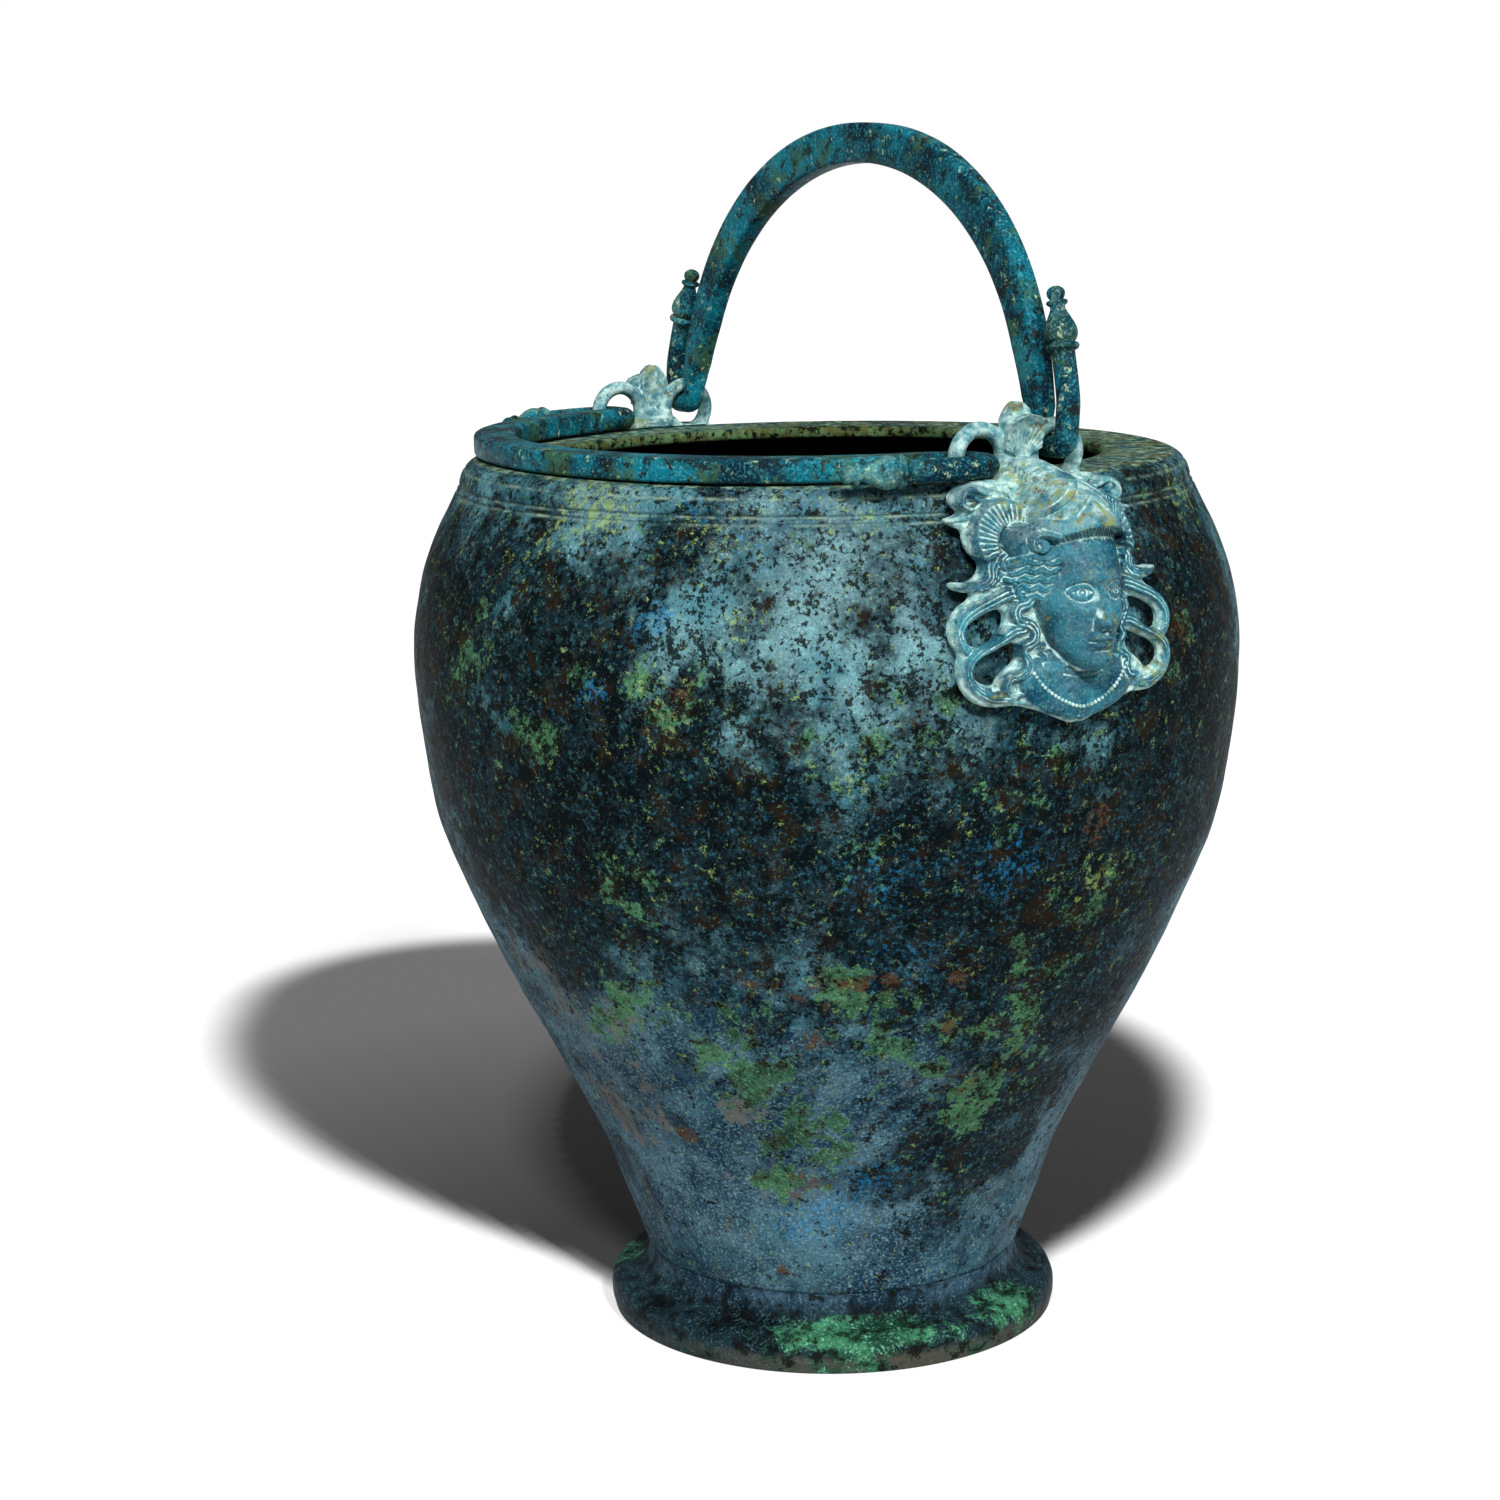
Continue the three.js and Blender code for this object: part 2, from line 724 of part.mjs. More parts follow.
// A bail in its rings: turned about its pivot line, with positive degrees leaning towards +X.
function bail(name, pivotX, pivotHeight, lean) {
  const mesh = namedMesh(name, geometryOf(bailSolid()), bronzeBail);
  mesh.position.set(pivotX, 0, pivotHeight);
  mesh.rotation.y = THREE.MathUtils.degToRad(lean);
  return mesh;
}

// How far below level a lying bail leans, so that its crown rests on the rim.
function restingTilt(pivotHeight) {
  const drop = pivotHeight - rimHeight - restGap - bailThickness / 2;
  return THREE.MathUtils.radToDeg(Math.asin(drop / bailRise));
}

const situla = new THREE.Group();
situla.add(vesselBody(), footRing(), footSolder());

// The back attachment and its solder are the front ones seen from the other side.
const attachment = attachmentSolid();
const bed = bedSolid();
const backwards = [0, 1, 0];
situla.add(namedMesh("front_attachment", geometryOf(attachment), bronzeMask));
situla.add(namedMesh("back_attachment", geometryOf(attachment.mirror(backwards)), bronzeMask));
situla.add(namedMesh("front_solder", geometryOf(bed), solderGrey));
situla.add(namedMesh("back_solder", geometryOf(bed.mirror(backwards)), solderGrey));

const level = 90;
const leftLean = -level - restingTilt(leftPivotHeight);
situla.add(bail("left_bail", leftPivotX, leftPivotHeight, leftLean));
situla.add(bail("right_bail", rightPivotX, rightPivotHeight, rightBailLeanDegrees));

export default situla;
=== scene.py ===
import math

import bmesh
import bpy
import numpy as np
from mathutils import Matrix, Vector, noise as field


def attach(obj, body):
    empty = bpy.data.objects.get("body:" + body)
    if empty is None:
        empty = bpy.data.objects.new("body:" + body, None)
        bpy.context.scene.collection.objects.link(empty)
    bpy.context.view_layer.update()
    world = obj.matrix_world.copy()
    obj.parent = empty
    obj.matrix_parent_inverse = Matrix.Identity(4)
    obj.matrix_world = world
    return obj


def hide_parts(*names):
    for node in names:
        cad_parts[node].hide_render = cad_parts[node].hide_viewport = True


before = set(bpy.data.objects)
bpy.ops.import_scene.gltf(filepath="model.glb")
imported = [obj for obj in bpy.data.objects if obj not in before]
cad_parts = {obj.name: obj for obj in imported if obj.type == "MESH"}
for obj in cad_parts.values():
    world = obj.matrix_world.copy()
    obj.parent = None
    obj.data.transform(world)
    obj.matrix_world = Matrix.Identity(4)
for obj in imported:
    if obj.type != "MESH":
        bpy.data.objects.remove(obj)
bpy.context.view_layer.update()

# The camera is the photograph's view: standing, with a long lens, a little above the rim and looking
# down. It comes first because patches of patina are placed by where they are seen from here.
MM = 0.001
PHOTO = 1500
SENSOR, LENS = 36, 73.94
turn, aim, down, roll = (math.radians(a) for a in (32.2, -1.449, 10.882, -0.916))
stand = Vector((0, -0.9464, 0.3604))


def in_scene(name, data):
    """A new object with that mesh, lamp or camera, at the origin."""
    made = bpy.data.objects.new(name, data)
    bpy.context.scene.collection.objects.link(made)
    return made


camera_data = bpy.data.cameras.new("photograph_view")
camera_data.sensor_width, camera_data.lens = SENSOR, LENS
camera_data.clip_start, camera_data.clip_end = 0.05, 50
camera = in_scene("photograph_view", camera_data)
ahead = Vector((math.sin(aim) * math.cos(down), math.cos(aim) * math.cos(down), -math.sin(down)))
level = ahead.cross(Vector((0, 0, 1))).normalized()
above = level.cross(ahead)
right = math.cos(roll) * level + math.sin(roll) * above
up = -math.sin(roll) * level + math.cos(roll) * above
axes = Matrix((right, up, -ahead)).transposed().to_4x4()
camera.matrix_world = Matrix.Rotation(-turn, 4, "Z") @ Matrix.Translation(stand) @ axes
bpy.context.scene.camera = camera
bpy.context.view_layer.update()


def sight(x, y):
    """Where the camera stands and which way it looks for a pixel of the 1500 x 1500 photograph."""
    f = camera_data.lens / camera_data.sensor_width * PHOTO
    ray = Vector(((x - PHOTO / 2) / f, -(y - PHOTO / 2) / f, -1))
    return camera.matrix_world.translation, (camera.matrix_world.to_3x3() @ ray).normalized()


# The hammered body is one sheet of bronze raised to an ovoid, its rim turned in to a flat ring, with
# one fine line and a double groove cut round the shoulder. Its patina is a blue-grey crust, flaked to
# dark pits, with patches of green, rust and bright blue. Painted shade darkens it at its left and right
# edges as seen from the camera and below the belly, and a painted highlight pales the shoulder's front.
RIM_HEIGHT = 272.0
BELLY = 127.5
RIM_FLAT = 105.0
MOUTH = 84.5
RIM_THICKNESS = 4.0
WALL = 1.6
BASE_RADIUS = 59.0
BASE_HEIGHT = 21.2
FLOOR = 3.0
ROUND = 384
HAMMER_MARK, HAMMER_DEPTH = 46, 0.55
FACET, FACET_DEPTH = 11.0, 0.28
# Height, half width and depth of the fine line and of the two grooves
cut_lines = [(268.7, 0.45, 0.4), (263.9, 0.6, 0.75), (261.9, 0.55, 0.7)]
# Dents, by where they are seen in the photograph: x, y, radius in mm, depth
dents = [(424, 742, 26, 0.9), (1008, 1236, 12, 1.2), (1022, 1215, 9, 0.9), (990, 1205, 14, 0.8)]
# The outline, as shares of the belly's radius and of the height, and for the shoulder as shares of the
# way from the rim's flat to the belly
lower_shares = [(0.484, 0.027), (0.521, 0.075), (0.576, 0.155), (0.675, 0.254), (0.78, 0.354), (0.871, 0.454),
                (0.947, 0.553), (0.985, 0.653), (1, 0.733)]
shoulder_shares = [(0.983, 0.801), (0.841, 0.864), (0.637, 0.912), (0.456, 0.944), (0.314, 0.968)]


def through(points, count):
    """Points evenly spaced along a smooth curve through the given ones."""
    p = np.array(points, float)
    p = np.vstack([2 * p[0] - p[1], p, 2 * p[-1] - p[-2]])
    t = np.linspace(0, 1, 24, endpoint=False)[:, None]
    rows = []
    for a, b, c, d in zip(p[:-3], p[1:-2], p[2:-1], p[3:]):
        rows.append(0.5 * (2 * b + (c - a) * t + (2 * a - 5 * b + 4 * c - d) * t ** 2
                           + (3 * b - a - 3 * c + d) * t ** 3))
    dense = np.vstack(rows + [p[-2:-1]])
    along = np.concatenate([[0], np.cumsum(np.linalg.norm(np.diff(dense, axis=0), axis=1))])
    at = np.linspace(0, along[-1], count)
    return np.stack([np.interp(at, along, dense[:, k]) for k in range(p.shape[1])], 1)


def body_outline(count=180):
    """Radius and height of the wall's outer face, from the base to the edge of the rim's flat."""
    span = RIM_HEIGHT - BASE_HEIGHT
    knots = [(BASE_RADIUS, BASE_HEIGHT)]
    knots += [(r * BELLY, BASE_HEIGHT + z * span) for r, z in lower_shares]
    knots += [(RIM_FLAT + r * (BELLY - RIM_FLAT), BASE_HEIGHT + z * span) for r, z in shoulder_shares]
    side = through(knots, count)
    last = side[-1]
    turn_in = np.array([last[0] - 0.2 * (last[0] - RIM_FLAT), last[1] + 0.85 * (RIM_HEIGHT - last[1])])
    t = np.linspace(0, 1, 15)[1:, None]
    edge = np.array([RIM_FLAT, RIM_HEIGHT])
    corner = (1 - t) ** 2 * last + 2 * t * (1 - t) * turn_in + t ** 2 * edge
    return np.vstack([side, corner])


outline = body_outline()


def square_to(profile):
    """Unit vectors square to a profile, pointing out of the vessel."""
    along = np.gradient(profile, axis=0)
    along /= np.linalg.norm(along, axis=1)[:, None]
    return np.stack([along[:, 1], -along[:, 0]], 1)


outward = square_to(outline)


def on_body(x, y):
    """The point of the body's outer face that shows at a pixel of the photograph."""
    start, ray = sight(x, y)
    p = np.array(start)[None] * 1000 + np.linspace(700, 1150, 2000)[:, None] * np.array(ray)[None]
    r = np.hypot(p[:, 0], p[:, 1])
    inside = (r < np.interp(p[:, 2], outline[:, 1], outline[:, 0])) & (p[:, 2] < RIM_HEIGHT)
    inside &= p[:, 2] > BASE_HEIGHT
    return p[np.argmax(inside)]


def lathe(profile, count, closed=False):
    """Vertices and faces of a turned surface. A point on the axis becomes one vertex."""
    angle = np.arange(count) * 2 * math.pi / count
    verts, rings = [], []
    for r, z in profile:
        if r < 1e-6:
            rings.append([len(verts)])
            verts.append((0.0, 0.0, z))
        else:
            rings.append(list(range(len(verts), len(verts) + count)))
            verts += [(r * math.cos(a), r * math.sin(a), z) for a in angle]
    faces = []
    pairs = list(zip(rings, rings[1:])) + ([(rings[-1], rings[0])] if closed else [])
    for a, b in pairs:
        for k in range(count):
            j = (k + 1) % count
            if len(a) == 1 and len(b) > 1:
                faces.append((a[0], b[j], b[k]))
            elif len(b) == 1 and len(a) > 1:
                faces.append((a[k], a[j], b[0]))
            elif len(a) > 1:
                faces.append((a[k], a[j], b[j], b[k]))
    return np.array(verts), faces


def piece(name, verts, faces, smooth=True):
    """A mesh object at the origin from points in millimetres."""
    mesh = bpy.data.meshes.new(name)
    mesh.from_pydata((np.asarray(verts) * MM).tolist(), [], [tuple(int(i) for i in f) for f in faces])
    mesh.validate()
    mesh.polygons.foreach_set("use_smooth", [smooth] * len(mesh.polygons))
    return in_scene(name, mesh)


def ripple(p, size, seed, octaves=3):
    """A gentle seeded unevenness, about -1 to 1, with bumps of the given size in millimetres."""
    rng = np.random.default_rng(seed)
    total = np.zeros(len(p))
    for octave in range(octaves):
        for _ in range(9):
            way = rng.normal(size=3)
            way *= 2 * math.pi / (size * 1.6) * 2 ** octave * rng.uniform(0.7, 1.3) / np.linalg.norm(way)
            total += np.sin(p @ way + rng.uniform(0, 2 * math.pi)) / 2 ** octave
    return total / 5


def dab(p, centre, radius):
    """1 at a centre, falling to 0 at the radius."""
    d = np.linalg.norm(p - np.asarray(centre), axis=1) / radius
    return np.clip(1 - d * d, 0, 1)


def hump(x, at, wide):
    """1 at a place, falling away smoothly on both sides of it."""
    return np.exp(-((x - at) / wide) ** 2)


def ridge(x, at, wide):
    """1 at a place, falling straight to 0 on both sides of it."""
    return np.clip(1 - np.abs(x - at) / wide, 0, 1)


def push_out(verts, which, by):
    """Moves the chosen points of a turned surface away from its axis."""
    r = np.maximum(np.hypot(verts[which, 0], verts[which, 1]), 1e-9)
    verts[which, :2] *= ((r + by) / r)[:, None]


extra = np.concatenate([np.linspace(z - 1.5, z + 1.5, 13) for z, _, _ in cut_lines])
heights = np.sort(np.concatenate([outline[:, 1], extra]))
heights = heights[np.concatenate([[True], np.diff(heights) > 0.12])]
outer = np.stack([np.interp(heights, outline[:, 1], outline[:, 0]), heights], 1)
under = RIM_HEIGHT - RIM_THICKNESS
floor_top = BASE_HEIGHT + FLOOR
inner = outline - outward * WALL
inner = inner[(inner[:, 1] > floor_top + WALL) & (inner[:, 1] < under - WALL)][::-2]
lip = [(RIM_FLAT - 5, RIM_HEIGHT), (RIM_FLAT - 10, RIM_HEIGHT - 0.1), (RIM_FLAT - 15, RIM_HEIGHT - 0.15),
       (MOUTH + 2, RIM_HEIGHT - 0.1), (MOUTH + 0.9, RIM_HEIGHT - 0.3), (MOUTH + 0.25, RIM_HEIGHT - 0.9),
       (MOUTH, RIM_HEIGHT - 1.7), (MOUTH, under + 1), (MOUTH + 0.4, under + 0.3), (MOUTH + 1.3, under),
       (MOUTH + 8, under), (inner[0, 0] - WALL, under)]
bottom = [(BASE_RADIUS - WALL, floor_top), (40, floor_top), (20, floor_top), (0, floor_top)]
under_base = [(0, BASE_HEIGHT), (20, BASE_HEIGHT), (40, BASE_HEIGHT), (52, BASE_HEIGHT)]
profile = np.array(under_base + outer.tolist() + lip + inner.tolist() + bottom)
verts, faces = lathe(profile, ROUND)
body_points = verts.copy()
radius = np.hypot(verts[:, 0], verts[:, 1])
first = 1 + ROUND * (len(under_base) - 1)
is_outer, is_inner = np.zeros(len(verts), bool), np.zeros(len(verts), bool)
is_outer[first:first + ROUND * len(outer)] = True
is_inner[first + ROUND * (len(outer) + len(lip)):] = True
outside = verts[is_outer]
z_here = outside[:, 2]
push = np.zeros(len(outside))
for z, width, depth in cut_lines:
    push -= depth * hump(z_here, z, width)
    push += 0.12 * depth * hump(z_here - z, -1.3 * width, width)
free = np.clip((z_here - BASE_HEIGHT) / 12, 0, 1) * np.clip((RIM_HEIGHT - 2 - z_here) / 14, 0, 1)
push -= free * HAMMER_DEPTH * (0.5 + 0.5 * np.clip(ripple(outside, HAMMER_MARK, 11, 3), -1, 1))
facet = np.array([field.voronoi(Vector(p) / FACET)[0][0] for p in outside])
push -= free * FACET_DEPTH * np.clip(facet, 0, 1)
for x, y, size, depth in dents:
    push -= depth * dab(outside, on_body(x, y), size)
push_out(verts, is_outer, np.minimum(push, 0.02))
push_out(verts, is_inner, 0.25 * ripple(verts[is_inner], 30, 12, 2) * (radius[is_inner] > BASE_RADIUS))
body = piece("hammered_body", verts, faces)


class Tree:
    """Lays nodes into one node tree; a value that is a socket is linked, any other is written in."""

    def __init__(self, tree):
        self.tree = tree

    def add(self, kind, out=0, **values):
        made = self.tree.nodes.new(kind)
        for key, value in values.items():
            name = key.replace("_", " ")
            if hasattr(made, key) and name not in made.inputs:
                setattr(made, key, value)
            else:
                self.feed(made.inputs[name], value)
        return made.outputs[out]

    def feed(self, socket, value):
        if isinstance(value, bpy.types.NodeSocket):
            self.tree.links.new(value, socket)
        else:
            socket.default_value = value

    def math(self, operation, *values):
        made = self.tree.nodes.new("ShaderNodeMath")
        made.operation = operation
        for socket, value in zip(made.inputs, values):
            self.feed(socket, value)
        return made.outputs[0]

    def scaled(self, value, by, plus=None):
        """A value times another, with a third one added where it is given."""
        if plus is None:
            return self.math("MULTIPLY", value, by)
        return self.math("MULTIPLY_ADD", value, by, plus)

    def mix(self, factor, a, b):
        made = self.tree.nodes.new("ShaderNodeMix")
        made.data_type = "RGBA"
        for socket, value in zip((made.inputs[0], made.inputs[6], made.inputs[7]), (factor, a, b)):
            self.feed(socket, value)
        return made.outputs[2]

    def over(self, colour, mask, share, laid):
        """A colour with another laid over it, at a share of a mask."""
        return self.mix(self.scaled(mask, share), colour, laid)

    def noise(self, place, size, detail=4.0, rough=0.55, warp=0.0):
        """Cloudy noise with blobs of about the given size in millimetres."""
        return self.add("ShaderNodeTexNoise", Vector=place, Scale=1000 / size, Detail=detail,
                        Roughness=rough, Distortion=warp)

    def step(self, value, low, high):
        return self.add("ShaderNodeMapRange", interpolation_type="SMOOTHSTEP", Value=value,
                        From_Min=low, From_Max=high)

    def attribute(self, name):
        return self.add("ShaderNodeAttribute", out=2, attribute_name=name)


def group(name, inputs, outputs):
    """An empty shader group with named sockets, its tree, its input sockets and its output node."""
    tree = bpy.data.node_groups.new(name, "ShaderNodeTree")
    for socket, kind in inputs:
        tree.interface.new_socket(socket, in_out="INPUT", socket_type=kind)
    for socket, kind in outputs:
        tree.interface.new_socket(socket, in_out="OUTPUT", socket_type=kind)
    source = tree.nodes.new("NodeGroupInput")
    return tree, Tree(tree), source.outputs, tree.nodes.new("NodeGroupOutput")


COLOUR, VALUE, VECTOR = "NodeSocketColor", "NodeSocketFloat", "NodeSocketVector"

# Crust group: the mottled mineral crust itself, two tones with a sandy pale speckle in it.
crust, t, given, result = group(
    "patina crust",
    [("Place", VECTOR), ("Deep", COLOUR), ("Middle", COLOUR), ("Pale", COLOUR), ("Cloud", VALUE),
     ("Speckle", VALUE)],
    [("Colour", COLOUR), ("Height", VALUE)])
broad = t.noise(given["Place"], 17, 5, 0.6, 0.4)
middle = t.noise(given["Place"], 5.5, 5, 0.6)
sand = t.noise(given["Place"], 0.9, 3, 0.7)
tone = t.math("ADD", t.scaled(broad, 0.65), t.scaled(middle, 0.35))
tone = t.scaled(given["Cloud"], 0.5, t.math("SUBTRACT", tone, 0.25))
base = t.mix(t.step(tone, 0.38, 0.62), given["Deep"], given["Middle"])
fleck = t.scaled(t.step(sand, 0.5, 0.7), given["Speckle"])
dip = t.scaled(t.step(sand, 0.46, 0.28), 0.55)
base = t.mix(fleck, base, given["Pale"])
base = t.mix(dip, base, t.mix(0.65, given["Deep"], (0, 0.002, 0.004, 1)))
t.feed(result.inputs["Colour"], base)
t.feed(result.inputs["Height"], t.math("ADD", t.scaled(sand, 0.5), t.scaled(middle, 0.5)))

# Patch group: where a second mineral stands on the crust. The spread says how much of the place it
# covers, the edge is ragged at two scales, and the rim is the thin pale line along the edge.
patch, t, given, result = group(
    "patina patch",
    [("Place", VECTOR), ("Spread", VALUE), ("Size", VALUE), ("Ragged", VALUE), ("Soft", VALUE)],
    [("Mask", VALUE), ("Rim", VALUE)])
scale = t.math("DIVIDE", 1000.0, given["Size"])
big = t.add("ShaderNodeTexNoise", Vector=given["Place"], Scale=scale, Detail=3.0, Roughness=0.55)
fine = t.add("ShaderNodeTexNoise", Vector=given["Place"], Scale=t.scaled(scale, 5.0), Detail=4.0,
             Roughness=0.65)
mixed = t.scaled(t.math("SUBTRACT", fine, 0.5), given["Ragged"], big)
edge = t.math("ADD", mixed, t.math("SUBTRACT", given["Spread"], 1.0))
t.feed(result.inputs["Mask"], t.add("ShaderNodeMapRange", interpolation_type="SMOOTHSTEP", Value=edge,
                                    From_Min=t.scaled(given["Soft"], -1.0), From_Max=given["Soft"]))
ring = t.math("ABSOLUTE", edge)
t.feed(result.inputs["Rim"], t.add("ShaderNodeMapRange", Value=ring, From_Min=0.035, From_Max=0.0))


def material(name):
    """A new material, its node tree and its shader."""
    made = bpy.data.materials.new(name)
    made.use_nodes = True
    nodes = made.node_tree.nodes
    return made, Tree(made.node_tree), nodes["Principled BSDF"]


def use(t, tree, **values):
    """Places a shared group in a material and returns its outputs."""
    made = t.tree.nodes.new("ShaderNodeGroup")
    made.node_tree = tree
    for key, value in values.items():
        t.feed(made.inputs[key], value)
    return made.outputs


def surface(t, shader, colour, rough, gloss, height, strength, deep):
    """Leads a bronze's colour, roughness and relief to its shader, and writes its gloss there."""
    t.feed(shader.inputs["Base Color"], colour)
    t.feed(shader.inputs["Roughness"], rough)
    shader.inputs["Specular IOR Level"].default_value = gloss
    t.feed(shader.inputs["Normal"], t.add("ShaderNodeBump", Strength=strength, Distance=deep, Height=height))


def srgb(r, g, b):
    """A colour as read off the bronze, 0 to 255, in the renderer's linear numbers."""
    linear = [c / 255 / 12.92 if c < 11 else ((c / 255 + 0.055) / 1.055) ** 2.4 for c in (r, g, b)]
    return tuple(linear) + (1,)


def crusted(t, place, cloud, deep, middle, pale, speckle):
    """The crust group with its three colours as read off the bronze."""
    return use(t, crust, Place=place, Cloud=cloud, Deep=srgb(*deep), Middle=srgb(*middle), Pale=srgb(*pale),
               Speckle=speckle)


def patched(t, place, spread, size, ragged, soft):
    """The patch group, with patches of about the given size in millimetres."""
    return use(t, patch, Place=place, Spread=spread, Size=size, Ragged=ragged, Soft=soft)


# Where each mineral lies, by where it is seen in the photograph: x, y, radius in mm, strength. The
# flaked dabs also lay painted shade at the body's left and right edges as seen from the camera and below
# the belly; the bright dabs lay pale crust and a painted highlight on the shoulder's front.
flaked_and_shaded = [(770, 560, 34, 0.5), (860, 600, 30, 0.45), (700, 540, 22, 0.5), (735, 560, 16, 0.6),
          (540, 590, 16, 0.6), (520, 690, 22, 0.5), (560, 740, 30, 0.7), (500, 790, 36, 0.8),
          (610, 720, 20, 0.45), (760, 720, 24, 0.5), (700, 800, 30, 0.5), (840, 800, 36, 0.6),
          (940, 900, 40, 1.0), (1010, 850, 40, 0.9), (1090, 900, 40, 1.0), (850, 870, 30, 0.7),
          (930, 560, 22, 0.7), (1180, 520, 26, 0.8), (1205, 600, 30, 1.2), (1200, 700, 32, 1.2),
          (1150, 800, 40, 0.9), (1120, 720, 20, 0.7), (620, 840, 30, 0.6), (700, 900, 40, 0.4),
          (540, 860, 34, 0.5), (460, 700, 26, 0.5), (1020, 960, 26, 0.6), (1060, 1010, 22, 0.5),
          (640, 960, 16, 0.5), (770, 1010, 20, 0.4), (480, 600, 20, 0.5), (1150, 480, 16, 0.8),
          (436, 640, 28, 1.3), (450, 760, 26, 0.9), (490, 860, 28, 0.9), (565, 825, 44, 1.25),
          (740, 850, 50, 0.8), (1050, 900, 52, 1.25), (1000, 1100, 40, 0.8), (950, 1160, 30, 0.6),
          (900, 940, 50, 0.7), (1215, 640, 24, 0.9), (1190, 820, 30, 0.9), (500, 560, 26, 0.6),
          (550, 680, 34, 1.1), (690, 745, 36, 0.8), (930, 750, 30, 0.6), (435, 560, 20, 0.9),
          (1225, 720, 24, 0.9), (620, 620, 26, 0.5), (560, 940, 30, 0.5), (1100, 1000, 30, 0.8),
          (800, 940, 40, 0.5)]
bright_crust_and_highlight = [(835, 585, 40, 1.0), (880, 680, 34, 0.6), (745, 630, 30, 0.5), (850, 520, 26, 0.7),
          (620, 500, 16, 0.6), (600, 580, 18, 0.3), (760, 1250, 26, 0.15), (900, 1180, 22, 0.15)]
green = [(625, 885, 13, 0.8), (545, 755, 12, 0.7), (640, 1010, 17, 0.75), (600, 1020, 14, 0.6),
         (755, 1005, 13, 0.75), (745, 1075, 18, 1.0), (720, 1062, 11, 0.9), (805, 1140, 17, 1.1),
         (790, 1180, 12, 1.0), (905, 1040, 16, 0.95), (880, 1050, 10, 0.9), (940, 1052, 10, 0.9),
         (985, 1085, 19, 0.95), (960, 1115, 10, 1.0), (1010, 1020, 16, 0.8), (1050, 960, 20, 0.8),
         (1075, 925, 16, 0.7), (850, 1000, 16, 0.8), (470, 640, 13, 0.75), (455, 690, 10, 0.6),
         (650, 700, 12, 0.6), (700, 690, 12, 0.5), (590, 680, 10, 0.6), (1185, 650, 12, 0.7),
         (1010, 800, 14, 0.6), (900, 740, 14, 0.6), (830, 760, 16, 0.5), (1040, 760, 12, 0.6),
         (610, 1010, 12, 0.5), (1110, 880, 14, 0.7), (870, 870, 12, 0.5), (950, 700, 8, 0.7)]
yellow = [(600, 505, 13, 1.2), (612, 520, 9, 1.1), (575, 500, 9, 0.9), (553, 538, 7, 1.0), (725, 545, 8, 0.8),
          (730, 624, 6, 1.0), (690, 530, 8, 0.6), (780, 495, 9, 0.6), (880, 505, 10, 0.6), (650, 690, 8, 0.5),
          (1020, 505, 12, 0.6), (1100, 880, 9, 0.7), (1090, 870, 7, 0.6), (850, 770, 9, 0.5),
          (520, 560, 8, 0.5), (1180, 490, 12, 0.8), (660, 720, 9, 0.5)]
azure = [(655, 622, 7, 1.2), (640, 628, 5, 1.0), (590, 690, 7, 0.9), (575, 545, 8, 0.6), (740, 535, 12, 0.5),
         (880, 880, 14, 0.7), (1010, 865, 12, 0.9), (830, 1215, 12, 0.8), (800, 1225, 9, 0.9),
         (870, 1180, 14, 0.7), (900, 960, 16, 0.5), (700, 500, 12, 0.6), (800, 500, 12, 0.5)]
rusty = [(686, 1133, 5, 1.1), (810, 1047, 6, 1.0), (745, 985, 5, 1.0), (815, 985, 12, 0.6),
         (965, 975, 6, 1.0), (950, 1028, 3, 1.2), (880, 985, 6, 0.8), (1180, 640, 6, 1.0),
         (1095, 825, 7, 0.9), (805, 1188, 7, 0.9), (860, 990, 8, 0.7), (640, 745, 7, 0.5),
         (970, 1080, 9, 0.5), (1020, 1050, 12, 0.5), (785, 1270, 4, 0.9), (680, 700, 7, 0.6),
         (1100, 650, 8, 0.6), (1115, 1010, 10, 0.5)]
tan = [(560, 985, 26, 0.9), (615, 1010, 14, 0.6), (605, 1090, 10, 1.0), (625, 1115, 11, 1.0),
       (640, 1135, 8, 1.0), (640, 1080, 12, 0.8), (655, 1115, 10, 0.7), (735, 1110, 9, 0.9),
       (760, 1115, 7, 0.8), (530, 930, 18, 0.6)]
rng = np.random.default_rng(5)


def spread(dabs, extra, z_low, z_high, size_low, size_high):
    """The listed dabs, and others strewn over the sides that the photograph doesn't show."""
    total = np.zeros(len(body_points))
    for x, y, size, strength in dabs:
        total = np.maximum(total, strength * dab(body_points, on_body(x, y), size * 1.25))
    for _ in range(extra):
        side, height = math.radians(rng.uniform(-30, 165)), rng.uniform(z_low, z_high)
        around = np.interp(height, outline[:, 1], outline[:, 0])
        centre = (around * math.cos(side), around * math.sin(side), height)
        size = rng.uniform(size_low, size_high)
        total = np.maximum(total, rng.uniform(0.5, 1.0) * dab(body_points, centre, size * 1.25))
    return total


def keep_mask(made, name, values):
    """Writes a number at each point of a piece, for its material to read."""
    made.data.attributes.new(name, "FLOAT", "POINT").data.foreach_set("value", values.astype(np.float32))


z = body_points[:, 2]
